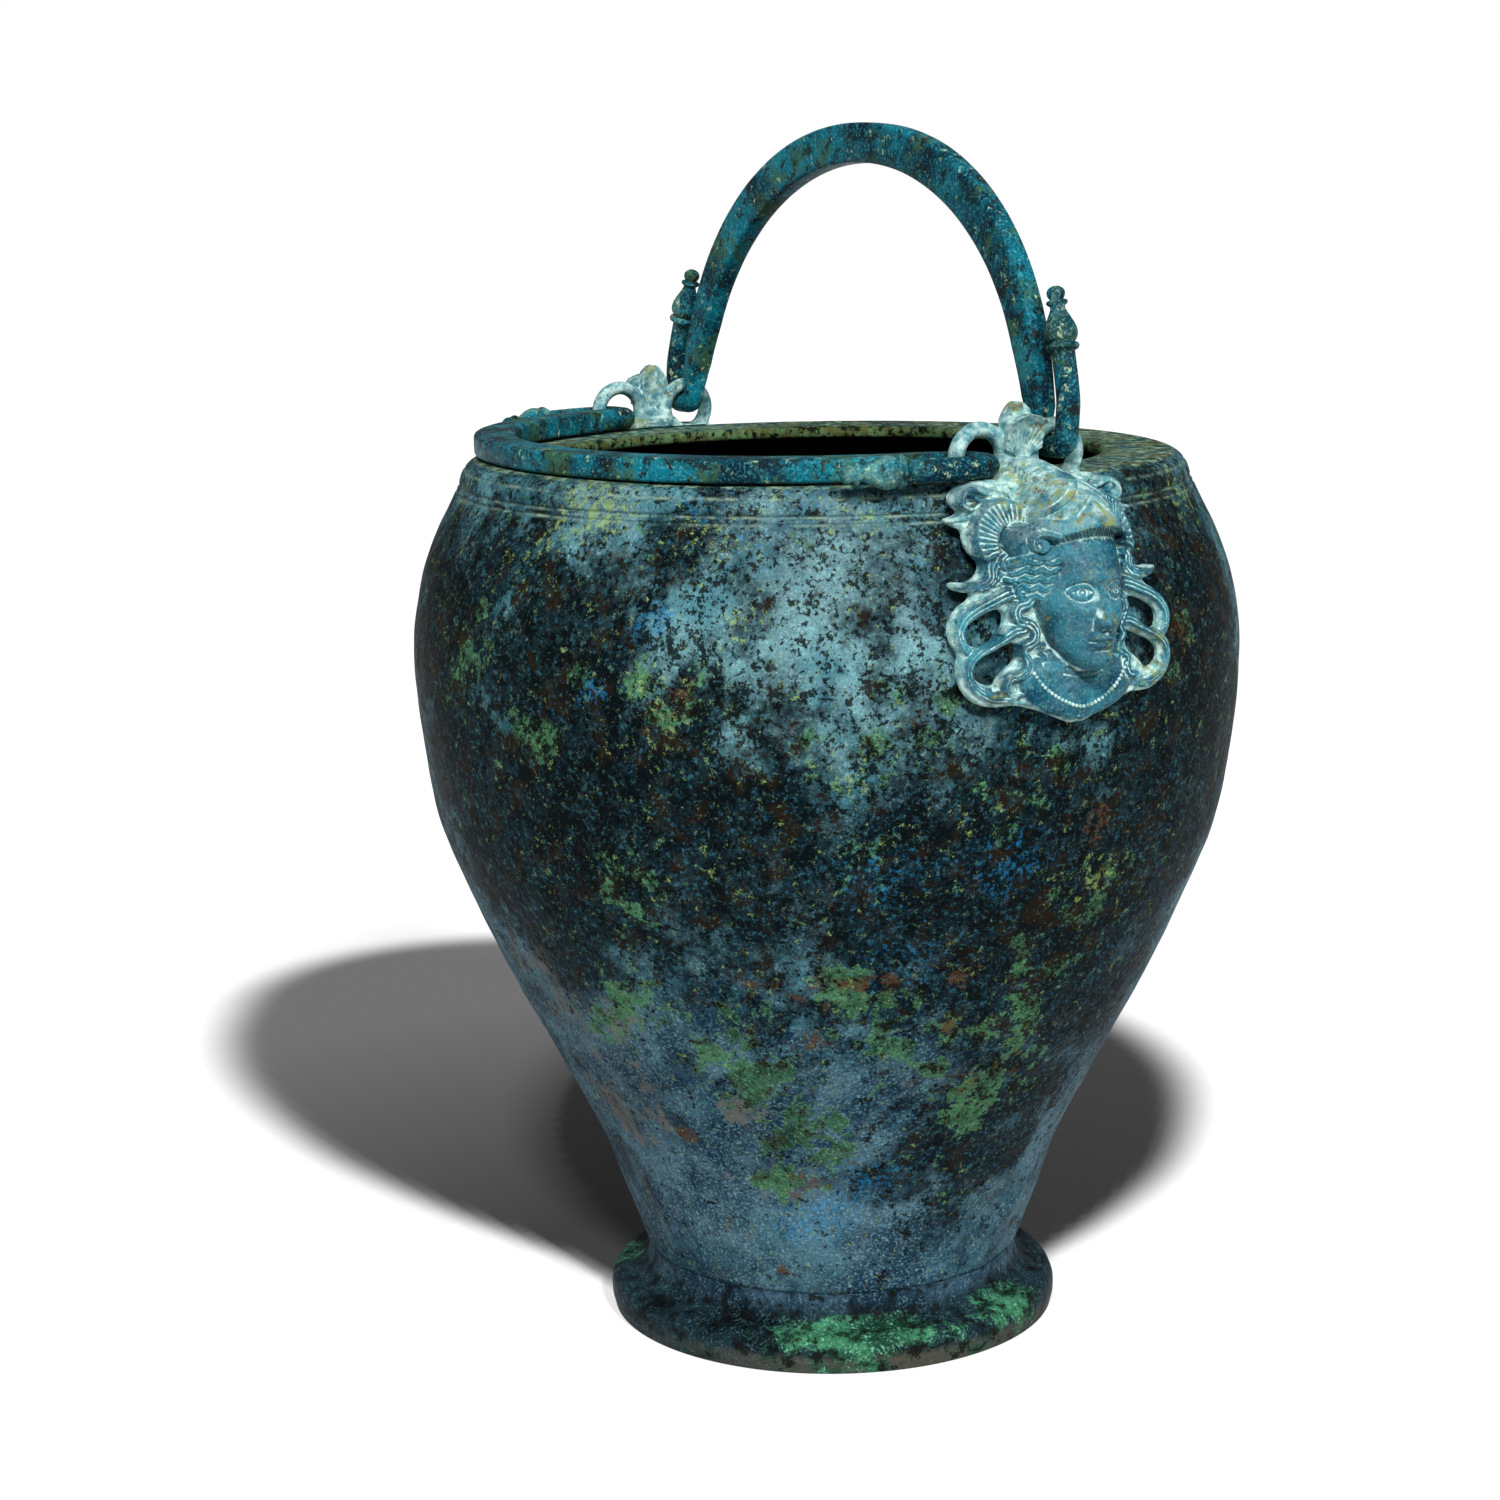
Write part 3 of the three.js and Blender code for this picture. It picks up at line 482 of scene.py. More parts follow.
# The flaked mask holds painted shade as well as flaking; clear, the bright mask, holds pale crust and a
# painted highlight.
bare_and_shaded, clear = spread(flaked_and_shaded, 34, 110, 268, 14, 38), spread(bright_crust_and_highlight, 9, 60, 250, 16, 40)
keep_mask(body, "flaked_and_shaded", bare_and_shaded - 0.3 * clear)
keep_mask(body, "bright_crust_and_highlight", clear)
keep_mask(body, "green", spread(green, 30, 40, 240, 8, 20))
keep_mask(body, "yellow", spread(yellow, 14, 150, 268, 6, 13))
keep_mask(body, "azure", spread(azure, 12, 40, 262, 6, 14))
keep_mask(body, "rusty", spread(rusty, 16, 40, 220, 4, 10))
keep_mask(body, "tan", spread(tan, 10, 50, 150, 8, 24))
keep_mask(body, "upper", np.clip((z - 95) / 110, 0, 1))
keep_mask(body, "lip", hump(radius, MOUTH, 2.2) * (z > under - 1))
keep_mask(body, "within", is_inner * 1.0)
keep_mask(body, "line", sum(hump(z, line, 0.4) for line, _, _ in cut_lines) * (radius > RIM_FLAT))
keep_mask(body, "flat", np.clip(z - RIM_HEIGHT + 2, 0, 1) * (radius < RIM_FLAT + 2) * (radius > MOUTH + 1))

bronze, t, shader = material("blue crusted bronze")
place = t.add("ShaderNodeTexCoord", out=3)
drawn = t.add("ShaderNodeMapping", Vector=place, Scale=(1, 1, 0.4))
upper, flakes_and_shade, flat = t.attribute("upper"), t.attribute("flaked_and_shaded"), t.attribute("flat")
cloud = t.noise(place, 60, 3, 0.5)
skin = crusted(t, place, cloud, (14, 52, 66), (80, 128, 136), (156, 202, 206), 0.5)
low_skin = crusted(t, place, cloud, (22, 48, 66), (72, 102, 116), (132, 178, 192), 0.6)
colour = t.mix(upper, low_skin["Colour"], skin["Colour"])
# Pale crust, and a painted highlight where the bright dabs lie on the shoulder's front
pale_crust_and_highlight = t.mix(t.noise(place, 0.9, 3, 0.7), srgb(86, 132, 140), srgb(160, 196, 198))
colour = t.over(colour, t.attribute("bright_crust_and_highlight"), 0.46, pale_crust_and_highlight)
teal = t.step(t.noise(place, 26, 4, 0.6), 0.5, 0.64)
colour = t.mix(t.scaled(teal, t.scaled(upper, 0.3, 0.2)), colour, srgb(34, 96, 110))
navy = t.step(t.noise(place, 19, 5, 0.65), 0.53, 0.64)
colour = t.over(colour, navy, 0.55, srgb(14, 38, 60))
warm = t.step(t.noise(drawn, 12, 5, 0.65, 0.5), 0.57, 0.7)
colour = t.over(colour, warm, 0.35, srgb(92, 98, 90))
tan_spread = t.scaled(t.attribute("tan"), 0.3, 0.26)
tan_mask = patched(t, drawn, tan_spread, 9.0, 0.5, 0.07)["Mask"]
colour = t.over(colour, tan_mask, 0.75, srgb(100, 98, 92))
brown = t.step(t.noise(place, 8, 3, 0.5), 0.5, 0.65)
# Dark flaked crust, and painted shade where the flaked dabs lie at the body's edges and below the belly
dark_crust_and_shade_at = t.scaled(flakes_and_shade, 0.34, t.noise(place, 20, 6, 0.7))
dark_crust_and_shade = t.step(dark_crust_and_shade_at, 0.52, 0.74)
dark_crust_and_shade_colour = t.mix(brown, srgb(4, 14, 20), srgb(24, 20, 12))
dark_crust_and_shade_colour = t.mix(t.step(t.noise(place, 1.6, 4, 0.7), 0.52, 0.66), dark_crust_and_shade_colour, srgb(38, 80, 92))
colour = t.over(colour, dark_crust_and_shade, 0.93, dark_crust_and_shade_colour)
green_spread = t.scaled(t.attribute("green"), 0.3, 0.28)
green_place = patched(t, place, green_spread, 9.0, 0.5, 0.045)
leafy = crusted(t, place, cloud, (26, 54, 40), (64, 110, 76), (118, 176, 132), 0.5)
brownish = t.step(t.noise(place, 6, 5, 0.7), 0.5, 0.6)
leaf_colour = t.mix(t.scaled(brownish, 0.8), leafy["Colour"], srgb(44, 42, 26))
colour = t.over(colour, green_place["Mask"], 0.9, leaf_colour)
edge_line_mask = t.scaled(green_place["Rim"], t.scaled(green_place["Mask"], 0.5))
colour = t.mix(edge_line_mask, colour, srgb(104, 150, 104))
rust_spread = t.scaled(t.attribute("rusty"), 0.3, 0.26)
rust_mask = patched(t, place, rust_spread, 5.0, 0.6, 0.06)["Mask"]
colour = t.over(colour, rust_mask, 0.65, srgb(84, 58, 36))
azure_spread = t.scaled(t.attribute("azure"), 0.25, 0.26)
azure_mask = patched(t, place, azure_spread, 1.7, 0.7, 0.06)["Mask"]
colour = t.over(colour, azure_mask, 0.45, srgb(28, 120, 170))
pit_spread = t.scaled(flakes_and_shade, 0.11, t.scaled(upper, 0.05, 0.32))
pits = patched(t, place, pit_spread, 6.0, 0.8, 0.025)
small_spread = t.scaled(flakes_and_shade, 0.07, t.scaled(upper, 0.05, 0.33))
small_pits = patched(t, place, small_spread, 2.2, 0.5, 0.03)
dark = t.math("MAXIMUM", pits["Mask"], small_pits["Mask"])
dark_colour = t.mix(brown, srgb(5, 10, 12), srgb(30, 21, 12))
glint = t.step(t.noise(place, 1.3, 2, 0.6), 0.6, 0.7)
dark_colour = t.over(dark_colour, glint, 0.3, srgb(90, 124, 108))
colour = t.over(colour, dark, 0.92, dark_colour)
yellow_spread = t.scaled(t.attribute("yellow"), 0.17, 0.28)
yellow_mask = patched(t, place, yellow_spread, 2.6, 0.8, 0.06)["Mask"]
colour = t.over(colour, yellow_mask, 0.65, srgb(140, 168, 100))
flat_colour = t.mix(t.step(t.noise(place, 11, 5, 0.65), 0.42, 0.6), srgb(34, 82, 84), srgb(92, 98, 62))
flat_colour = t.over(flat_colour, dark, 0.8, dark_colour)
flat_colour = t.mix(t.step(t.noise(place, 4, 4, 0.7), 0.48, 0.62), flat_colour, srgb(134, 164, 138))
colour = t.over(colour, flat, 0.85, flat_colour)
line_colour = t.mix(t.noise(place, 3, 3), srgb(96, 132, 122), srgb(168, 190, 168))
colour = t.mix(t.scaled(t.attribute("line"), t.step(t.noise(place, 6, 3), 0.36, 0.8)), colour, line_colour)
lip_colour = t.mix(t.step(t.noise(place, 5, 4, 0.65), 0.4, 0.6), srgb(84, 116, 78), srgb(74, 80, 44))
lip_colour = t.mix(t.step(t.noise(place, 2.2, 5, 0.7), 0.49, 0.57), lip_colour, srgb(16, 24, 16))
colour = t.mix(t.attribute("lip"), colour, lip_colour)
inside_colour = t.mix(t.noise(place, 14, 5, 0.6), srgb(14, 22, 18), srgb(52, 66, 52))
colour = t.mix(t.attribute("within"), colour, inside_colour)
height = t.scaled(skin["Height"], 0.35, t.scaled(dark, -0.6))
height = t.scaled(green_place["Mask"], 0.35, height)
height = t.scaled(yellow_mask, 0.3, height)
surface(t, shader, colour, t.scaled(t.noise(place, 3, 3), 0.25, 0.4), 0.02, height, 0.6, 0.0004)
body.data.materials.append(bronze)
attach(body, "vessel")
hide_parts("vessel_body")

# The foot is a cast bronze ring, soldered under the body: a concave neck, a round flange and a thin
# lip on which the vessel stands. It is dark, with a band of green in front.
FOOT_HEIGHT = 20.6
NECK = 58.6
FLANGE = 71.0
FLANGE_HEIGHT = 11.5
BORE = 53.0
foot_profile = [(60.1, 0), (69.6, 0), (70.1, 0.25), (70.1, 1.0), (70.3, 1.5)]
foot_profile += through([(70.4, 1.9), (70.9, 3.4), (FLANGE, 5.2), (70.95, 7.0), (70.5, 8.8), (69.4, 10.2),
                         (67.8, 11.2), (65.9, 11.6), (64.0, 11.8), (62.3, 12.3), (60.9, 13.3), (59.9, 14.8),
                         (59.2, 16.8), (58.8, 18.8), (NECK, FOOT_HEIGHT - 0.3)], 60).tolist()
foot_profile += [(NECK + 0.3, 21.1), (NECK - 0.3, 21.1), (NECK - 0.5, FOOT_HEIGHT), (BORE, FOOT_HEIGHT),
                 (BORE, FLANGE_HEIGHT + 0.5), (BORE + 0.6, FLANGE_HEIGHT - 0.6), (59.4, 0.6)]
verts, faces = lathe(np.array(foot_profile)[::-1], 256, closed=True)
r = np.hypot(verts[:, 0], verts[:, 1])
push = -0.2 * (0.5 + 0.5 * np.clip(ripple(verts, 24, 21, 3), -1, 1)) * np.clip((verts[:, 2] - 1.5) / 3, 0, 1)
push *= (r > BORE + 4) & (verts[:, 2] < FOOT_HEIGHT - 0.1)
push -= 0.5 * dab(verts, (62 * math.cos(-0.42), 62 * math.sin(-0.42), 13), 16) * (r > BORE + 2)
push_out(verts, slice(None), push)
foot = piece("cast_foot", verts, [f[::-1] for f in faces])
foot_bronze, t, shader = material("dark green foot bronze")
place = t.add("ShaderNodeTexCoord", out=3)
cloud = t.noise(place, 30, 3, 0.5)
skin = crusted(t, place, cloud, (5, 12, 16), (24, 42, 50), (92, 134, 140), 0.45)
green_skin = crusted(t, place, cloud, (20, 58, 44), (62, 128, 92), (140, 216, 176), 0.7)
green_mask = patched(t, place, t.attribute("green"), 6.0, 0.9, 0.12)["Mask"]
neck_skin = crusted(t, place, cloud, (18, 38, 52), (50, 74, 90), (110, 150, 166), 0.6)
colour = t.mix(t.attribute("neck"), skin["Colour"], neck_skin["Colour"])
earth = t.step(t.noise(place, 9, 4, 0.6), 0.42, 0.62)
low_colour = t.mix(earth, srgb(78, 76, 66), srgb(44, 78, 60))
colour = t.over(colour, t.attribute("under"), 0.75, low_colour)
colour = t.over(colour, green_mask, 0.9, green_skin["Colour"])
pits = patched(t, place, 0.4, 4.5, 0.8, 0.03)["Mask"]
colour = t.over(colour, pits, 0.9, srgb(14, 14, 12))
height = t.scaled(pits, -0.6, skin["Height"])
surface(t, shader, colour, t.scaled(t.noise(place, 3, 3), 0.2, 0.4), 0.03, height, 0.6, 0.0004)
angles = np.degrees(np.arctan2(verts[:, 1], verts[:, 0]))
facing = hump(angles, -116, 30) + 0.8 * hump(angles, -66, 14)
facing += 0.8 * hump(angles, 30, 25) + 0.7 * hump(angles, 140, 18)
across_top = hump(verts[:, 2], 10, 3.2)
keep_mask(foot, "green", np.clip(facing * (0.46 + 0.36 * across_top) * (verts[:, 2] < 15), 0, 0.74))
keep_mask(foot, "neck", np.clip((verts[:, 2] - 14.5) / 4, 0, 1))
keep_mask(foot, "under", np.clip((7 - verts[:, 2]) / 3, 0, 1) * hump(angles, -105, 62))
foot.data.materials.append(foot_bronze)
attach(foot, "vessel")
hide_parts("foot_ring")

# The solder is soft lead-tin, run in molten: a ring under the body and a bed behind each attachment.
# It has dulled to grey, with a whitish bloom.
solder, t, shader = material("dull grey solder")
place = t.add("ShaderNodeTexCoord", out=3)
skin = crusted(t, place, 0.5, (74, 78, 78), (128, 132, 130), (182, 186, 182), 0.4)
t.feed(shader.inputs["Base Color"], skin["Colour"])
t.feed(shader.inputs["Roughness"], t.scaled(skin["Height"], 0.3, 0.5))
t.feed(shader.inputs["Normal"], t.add("ShaderNodeBump", Strength=0.4, Distance=0.0003, Height=skin["Height"]))
shader.inputs["Metallic"].default_value = 0.4
for node in ("foot_solder", "front_solder", "back_solder"):
    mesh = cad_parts[node].data
    mesh.materials.clear()
    mesh.materials.append(solder)

# The handle attachments are two alike bronze castings in high relief, soldered to the shoulder: a
# plate with openwork sides, a helmeted head with flowing hair, two rings, a palmette and a leaf. The
# work is drawn on the plate as strokes, and raised to its height off the shoulder.
STEP = 0.25
CENTRE = -2.0
PLATE_BACK, PLATE_TOP = 2.5, 5.6
RING_X, RING_Y, RING_V = 12.5, 103.7, 6.2
RING_RADIUS, RING_HOLE = 7.75, 5.62
RING_BAR, RING_DEPTH = 2.15, 2.7
EDGE_DROP, EDGE_WIDTH = 1.6, 1.5
SKIRT, SKIRT_HALF = 4.2, 20.5
STEM_HALF, STEM_TOP = 4.6, 21.0
FAN_HUB, FAN_RADIUS, FAN_TURN = 4.6, 13.2, 1.05
HEAD_BACK, FACE_BACK, FOREMOST = 125, 127, 150.05
MOST_TRIANGLES = 190000
xs = np.arange(-38.25, 38.25 + STEP / 2, STEP)
ys = np.arange(98.5, 151.0 + STEP / 2, STEP)
vs = np.arange(-67.0, 23.5 + STEP / 2, STEP)
X, V = np.meshgrid(xs, vs, indexing="ij")

# How far each point lies off the body's outer face, by its radius and height
table_r = np.arange(80.0, 158.0, 0.5)
table_z = vs + RIM_HEIGHT
edge_line = np.vstack([outline, [(MOUTH + k, RIM_HEIGHT) for k in range(20, -1, -2)]])
off_body = np.zeros((len(table_r), len(table_z)))
for k, height in enumerate(table_z):
    a, b = edge_line[:-1], edge_line[1:]
    p = np.stack([table_r, np.full(len(table_r), height)], 1)[:, None]
    s = np.clip(((p - a) * (b - a)).sum(2) / ((b - a) ** 2).sum(1), 0, 1)[:, :, None]
    gap = np.sqrt(((p - a - s * (b - a)) ** 2).sum(2)).min(1)
    face = np.interp(height, outline[:, 1], outline[:, 0])
    off_body[:, k] = np.where((table_r > face) | (height > RIM_HEIGHT), gap, -gap)


def reach(level):
    """How far in front of the vessel's axis a point of the plate stands, for a height off the body."""
    front = np.zeros(X.shape)
    for k in range(len(vs)):
        column = off_body[:, k]
        low = np.argmin(column)
        r = np.interp(level[:, k], column[low:], table_r[low:])
        front[:, k] = np.sqrt(np.maximum(r * r - (xs + CENTRE) ** 2, 0))
    return front


def near(points, wide):
    """For each point of the plate: distance from a drawn line, place across it and share along it."""
    line = through(points, max(8, int(len(points) * 14)))
    way = np.gradient(line, axis=0)
    way /= np.maximum(np.linalg.norm(way, axis=1), 1e-9)[:, None]
    i0, i1 = np.searchsorted(xs, [line[:, 0].min() - wide, line[:, 0].max() + wide])
    k0, k1 = np.searchsorted(vs, [line[:, 1].min() - wide, line[:, 1].max() + wide])
    window = (slice(i0, i1), slice(k0, k1))
    dx = X[window][..., None] - line[:, 0]
    dv = V[window][..., None] - line[:, 1]
    d2 = dx * dx + dv * dv
    best = d2.argmin(-1)
    d2, dx, dv = (np.take_along_axis(a, best[..., None], -1)[..., 0] for a in (d2, dx, dv))
    dist = np.sqrt(d2)
    across = np.sign(dv * way[best, 0] - dx * way[best, 1]) * dist
    return window, dist, across, best / (len(line) - 1)


def spaced(along, values):
    """A size given at even steps along a line, or once for all of it."""
    values = np.atleast_1d(values)
    return np.interp(along, np.linspace(0, 1, len(values)), values)


top = np.full(X.shape, PLATE_TOP)


def lock(points, wide, tall, strands=0, cut=1.05, crown=0.9, moat=0.6):
    """A raised lock or bar along a line, rounded across, parted into strands by fine grooves."""
    window, dist, across, along = near(points, np.max(wide) + 1)
    half = spaced(along, wide)
    u = np.clip(across / half, -1, 1)
    rise = spaced(along, tall) - crown * (1 - np.sqrt(1 - np.minimum(u * u, 1)))
    if strands:
        phase = (u + 1) / 2 * strands
        line = np.abs(phase - np.round(phase)) * 2
        inside = (np.round(phase) > 0) & (np.round(phase) < strands)
        rise -= cut * inside * np.clip(1 - line / 0.62, 0, 1) ** 0.8
    here = top[window]
    ditch = (dist > half) & (dist < half + 0.45)
    here = np.where(ditch, np.minimum(here, np.maximum(here - moat, PLATE_TOP - 0.6)), here)
    top[window] = np.where(dist <= half, np.maximum(rise, here - 0.35), here)


def raised(points, wide, tall):
    """A raised line, or a groove where its height is below 0."""
    window, dist, _, _ = near(points, wide + 0.5)
    top[window] += tall * np.clip(1 - (dist / wide) ** 2, 0, 1)


def sided(points):
    """Points drawn for the right side, on the side that is being worked: 1 right, -1 left."""
    return [(side * x, v) for x, v in points]


def curl(x, v, wide, turns, start, side=1):
    """A spiral that winds in to its centre."""
    rows = []
    for s in np.linspace(0, 1, int(turns * 8) + 2):
        a = math.radians(start) + side * s * turns * 2 * math.pi
        rows.append((x + wide * (1 - 0.88 * s) * math.cos(a), v + wide * (1 - 0.88 * s) * math.sin(a)))
    return rows


# The plate's outline and its openwork, drawn down the right side
half_outline = [(0, 1.5), (8, 1.0), (17, 0.5), (21.5, 0.0), (24, -0.6), (26.3, -1.9), (27.6, -3.4),
                (27.4, -5.4), (25.8, -7.2), (27.5, -8.2), (30.6, -9.2), (28.6, -10.8), (26.4, -12.2),
                (26.7, -15), (26.1, -17.8), (24.4, -20.2), (24.6, -22.2), (26.6, -24.4), (29.4, -25.3),
                (32, -25.2), (33.8, -25.5), (33.4, -26.9), (31, -27.8), (28.5, -28.2), (29.6, -30),
                (32.6, -31.8), (35.2, -34.6), (36.3, -38), (35.8, -41.4), (34.4, -44), (35, -47), (34.9, -51),
                (33.6, -54.4), (31.2, -57), (27.5, -58.6), (23.5, -58.9), (19, -58.9), (13, -60.6), (7, -63),
                (2.5, -64.9), (0, -65)]
hole_1 = [(32, -37.7), (30.3, -36), (26.4, -33.9), (22.6, -32.8), (20.6, -33.6), (20.6, -36), (22, -38.4),
          (24.6, -40.8), (28, -42.2), (31, -42), (32.2, -40)]
hole_2 = [(30.9, -47.8), (28.6, -45.5), (25, -43.8), (21, -42.2), (18.6, -41.8), (18.2, -44.5), (19, -47),
          (21.4, -48.8), (24, -51), (25.4, -52.8), (28.5, -52.4), (31, -50.4)]


def within(points):
    """Distance outside a closed outline on the plate, negative inside it."""
    line = np.array(points, float)
    nxt = np.roll(line, -1, axis=0)
    best = np.full(X.shape, 1e9)
    odd = np.zeros(X.shape, bool)
    for (ax, av), (bx, bv) in zip(line, nxt):
        ex, ev = bx - ax, bv - av
        s = np.clip(((X - ax) * ex + (V - av) * ev) / (ex * ex + ev * ev), 0, 1)
        best = np.minimum(best, (X - ax - s * ex) ** 2 + (V - av - s * ev) ** 2)
        if ev != 0:
            crosses = ((av <= V) != (bv <= V)) & (X < (V - av) * ex / ev + ax)
            odd ^= crosses
    return np.where(odd, -1, 1) * np.sqrt(best)


def rounded(points, count):
    """A closed smooth curve through the points of a hole."""
    closed = through(points + points[:3], (len(points) + 3) * 6)
    start = np.linalg.norm(closed - points[1], axis=1)[:12].argmin()
    end = len(closed) - 18 + np.linalg.norm(closed[-18:] - points[1], axis=1).argmin()
    return closed[start:end][::max(1, len(closed) // count)]


right_edge = through(half_outline, 150)
plate = within(np.vstack([right_edge, (right_edge * [-1, 1])[::-1][1:-1]]))
for hole in (hole_1, hole_2):
    for side in (1, -1):
        plate = np.maximum(plate, -within(rounded(sided(hole), 60)))
top -= EDGE_DROP * np.clip(1 + plate / EDGE_WIDTH, 0, 1) ** 2

CREST_X, CREST_V, CREST_EDGE = 14.2, -15.4, 26.7
CREST_START, CREST_TURN, CREST_RIBS = -26, 164, 17
# Volutes and leaf on either side of the rings
for side in (1, -1):
    lock(sided([(8, -4.5), (14, -3.2), (18.3, -2.1), (21.2, -1.2), (24, -1.4), (26.0, -3.0), (26, -5),
                (24, -6.1), (22.1, -5.2), (21.9, -3.5), (23.3, -2.9)]), [0.9, 1.2, 1.3, 1.2, 1.1, 0.9, 0.7],
         [6.4, 7.4, 8.2, 8.2, 8.4], 2, 0.5, 0.6)
    lock(sided([(20.5, -6.5), (24, -7.8), (27.2, -8.6), (30, -9.2)]), [1.7, 1.5, 0.9, 0.4],
         [6.3, 6.6, 6.4], 2)
    lock(sided([(13, -3.6), (17, -3.6), (20, -5.4)]), [1.6, 1.3, 0.6], [7, 6.8, 6.2], 3)

    # Side crest: ribs between two thin borders, round the ear piece
    on_this = side * X > 0
    seen_x = np.abs(X) - 0.21 * (CREST_EDGE - np.abs(X))
    crest_r = np.hypot(seen_x - CREST_X, V - CREST_V)
    crest_turn = np.degrees(np.arctan2(V - CREST_V, seen_x - CREST_X))
    crest_turn = np.where(crest_turn < -90, crest_turn + 360, crest_turn)
    in_turn = (crest_turn > CREST_START) & (crest_turn < CREST_START + CREST_TURN)
    in_crest = (crest_r < 11.8) & (crest_r > 4.6) & in_turn & on_this
    rib = np.abs(((crest_turn - CREST_START) / CREST_TURN * CREST_RIBS) % 1 - 0.5) * 2
    level = 8.4 - 0.04 * (crest_r - 8) ** 2 + 0.3 * np.clip(CREST_EDGE - np.abs(X), 0, 17)
    level -= 1.2 * np.clip(rib - 0.3, 0, 1) / 0.7 * (crest_r < 10.5) * (crest_r > 5.6)
    level -= 0.6 * ridge(crest_r, 10.75, 0.28)
    level += 0.25 * (crest_r > 10.9) - 0.5 * np.clip((crest_r - 11.3) / 0.5, 0, 1)
    top[in_crest] = level[in_crest]
    top -= 0.5 * ridge(crest_r, 12.1, 0.35) * (crest_turn > CREST_START) * (crest_turn < 150) * on_this

    # Tail of the crest, swept out to a tip
    if side < 0:
        tail = [(17.6, -17.2), (20.8, -19.4), (22.6, -21.6), (23, -24), (24.6, -25.6), (28, -26.4),
                (31, -26.2), (33.2, -25.9)]
    else:
        tail = [(17.6, -17.2), (21, -19), (23, -21), (22.6, -23.4), (23.8, -25.6), (27.6, -26.8),
                (31.2, -26.4), (33.2, -25)]
    lock(sided(tail), [3.1, 2.9, 2.3, 1.8, 1.6, 1.4, 1.1, 0.5], [7.9, 7.9, 7.7, 7.3, 7.2, 7, 6.8], 4)
    lock(sided([(18.5, -22.5), (20.4, -25), (22.6, -26.4)]), [1.3, 1.1, 0.6], [7, 6.9, 6.4], 2)

    # Hair: the curl at the temple, the wavy locks, and the ties of the openwork
    lock(sided([(8, -20.6), (11.6, -19.6), (14.4, -18.2), (17.4, -18.4), (19.6, -20), (19.2, -22)]),
         [1.6, 1.7, 1.6, 1.4, 1.2, 0.7], [11, 10.4, 9.4, 8.6, 8.2], 3)
    lock(sided([(10, -24.2), (13, -22.2), (15.2, -23.6), (17.2, -25.4), (19.4, -25)]),
         [1.6, 1.6, 1.5, 1.2, 0.7], [10.6, 9.6, 9, 8.4, 8], 3)
    lock(sided([(11, -29.4), (13.2, -26.8), (15, -28.4), (17.4, -28.6)]), [1.6, 1.6, 1.5, 1.1],
         [9.6, 9, 8.6, 8.2], 3)
    lock(sided([(17.6, -28.2), (20.4, -28.7), (24.6, -30.3), (29, -32.2), (32.6, -34.6), (34.6, -38),
                (34, -41.2), (32.6, -43.4)]), [1.7, 1.7, 1.6, 1.5, 1.4, 1.3, 1.2, 1.1],
         [7.9, 7.9, 7.7, 7.4, 7.2, 7.1, 7], 3)
    lock(sided([(17.4, -26.9), (17.2, -29.6)]), 0.75, 8.8, 0, 0, 0.5)
    if side < 0:
        lock(sided([(13, -29.2), (14.6, -31.2), (17.6, -32), (18.6, -34), (17.6, -36), (14.8, -37),
                    (13.7, -39), (14.6, -41.4), (17.4, -42.6), (18, -44.2), (16.9, -46.4), (17.4, -48.6),
                    (19.8, -50.3), (22.3, -50.8), (23.5, -52.8), (24.4, -54.8), (26.6, -55.3), (28.4, -54.4),
                    (28.6, -53)]), [1.5, 1.6, 1.6, 1.6, 1.6, 1.6, 1.5, 1.5, 1.4, 1.4, 1.3, 1.3, 1.3, 1.2, 1.1,
                                    1, 0.8], 8.3, 3, 0.9)
    else:
        lock(curl(14.2 * side, -34.2, 2.9, 1.4, 200), [0.9, 0.8, 0.6], [8.6, 8.8, 9.2], 2)
        lock(sided([(12.8, -29), (15.6, -30.4), (17.6, -32.6), (17.6, -35.6), (16, -38), (14.6, -39.8),
                    (15.3, -41.9), (13.6, -44), (12.8, -45.8), (14.8, -47), (16.3, -48.4), (15.7, -50.6),
                    (17, -53), (19.8, -53.2)]), [1.1, 1, 1, 1, 1.1, 1.3, 1.3, 1.3, 1.2, 1.2, 1.2, 1.2, 1.1,
                                                 0.8], 8.2, 2, 0.8)
    lock(sided([(16.8, -38), (19.4, -38.4), (23, -40.2), (27, -42.1), (30.2, -43.8), (32.6, -46.2),
                (33.3, -49.4), (32, -52.8), (29.4, -55), (26, -56.3), (22.2, -56.6)]),
         [1.5, 1.5, 1.4, 1.4, 1.3, 1.3, 1.2, 1.2, 1.3, 1.3, 1.1], [7.6, 7.6, 7.3, 7.2, 7.1, 7.1, 7.2, 7.3], 3)
    lock(sided([(11.2, -42.4), (12.6, -44.6), (11.6, -46), (13.4, -47), (12.8, -49)]),
         [0.7, 0.7, 0.7, 0.6, 0.5], 7.6, 2, 0.4, 0.4)

    # Border of the bust, a wavy raised line, and the fold lines inside it
    raised(sided([(22.5, -57.2), (19, -56), (15, -56.6), (11.5, -58.6), (7, -61), (3, -62.8), (0, -63.4)]),
           0.8, 0.9)
    raised(sided([(19, -58), (14, -59), (8, -61.8), (2.5, -64)]), 0.6, 0.5)

# Bust and neck: a smooth swelling under the chin, with two fine lines round the throat
swell = 1 - (X / 19) ** 2 - ((V + 53) / 10.5) ** 2
top = np.where(swell > 0, np.maximum(top, PLATE_TOP + 2.8 * np.sqrt(np.maximum(swell, 0))), top)
raised([(-6.5, -50.8), (-3, -51.6), (0, -51.9), (3, -51.6), (6.5, -50.8)], 0.35, -0.35)
raised([(-5.5, -49.4), (-2, -50.1), (0, -50.2), (2, -50.1), (5.5, -49.4)], 0.3, -0.3)
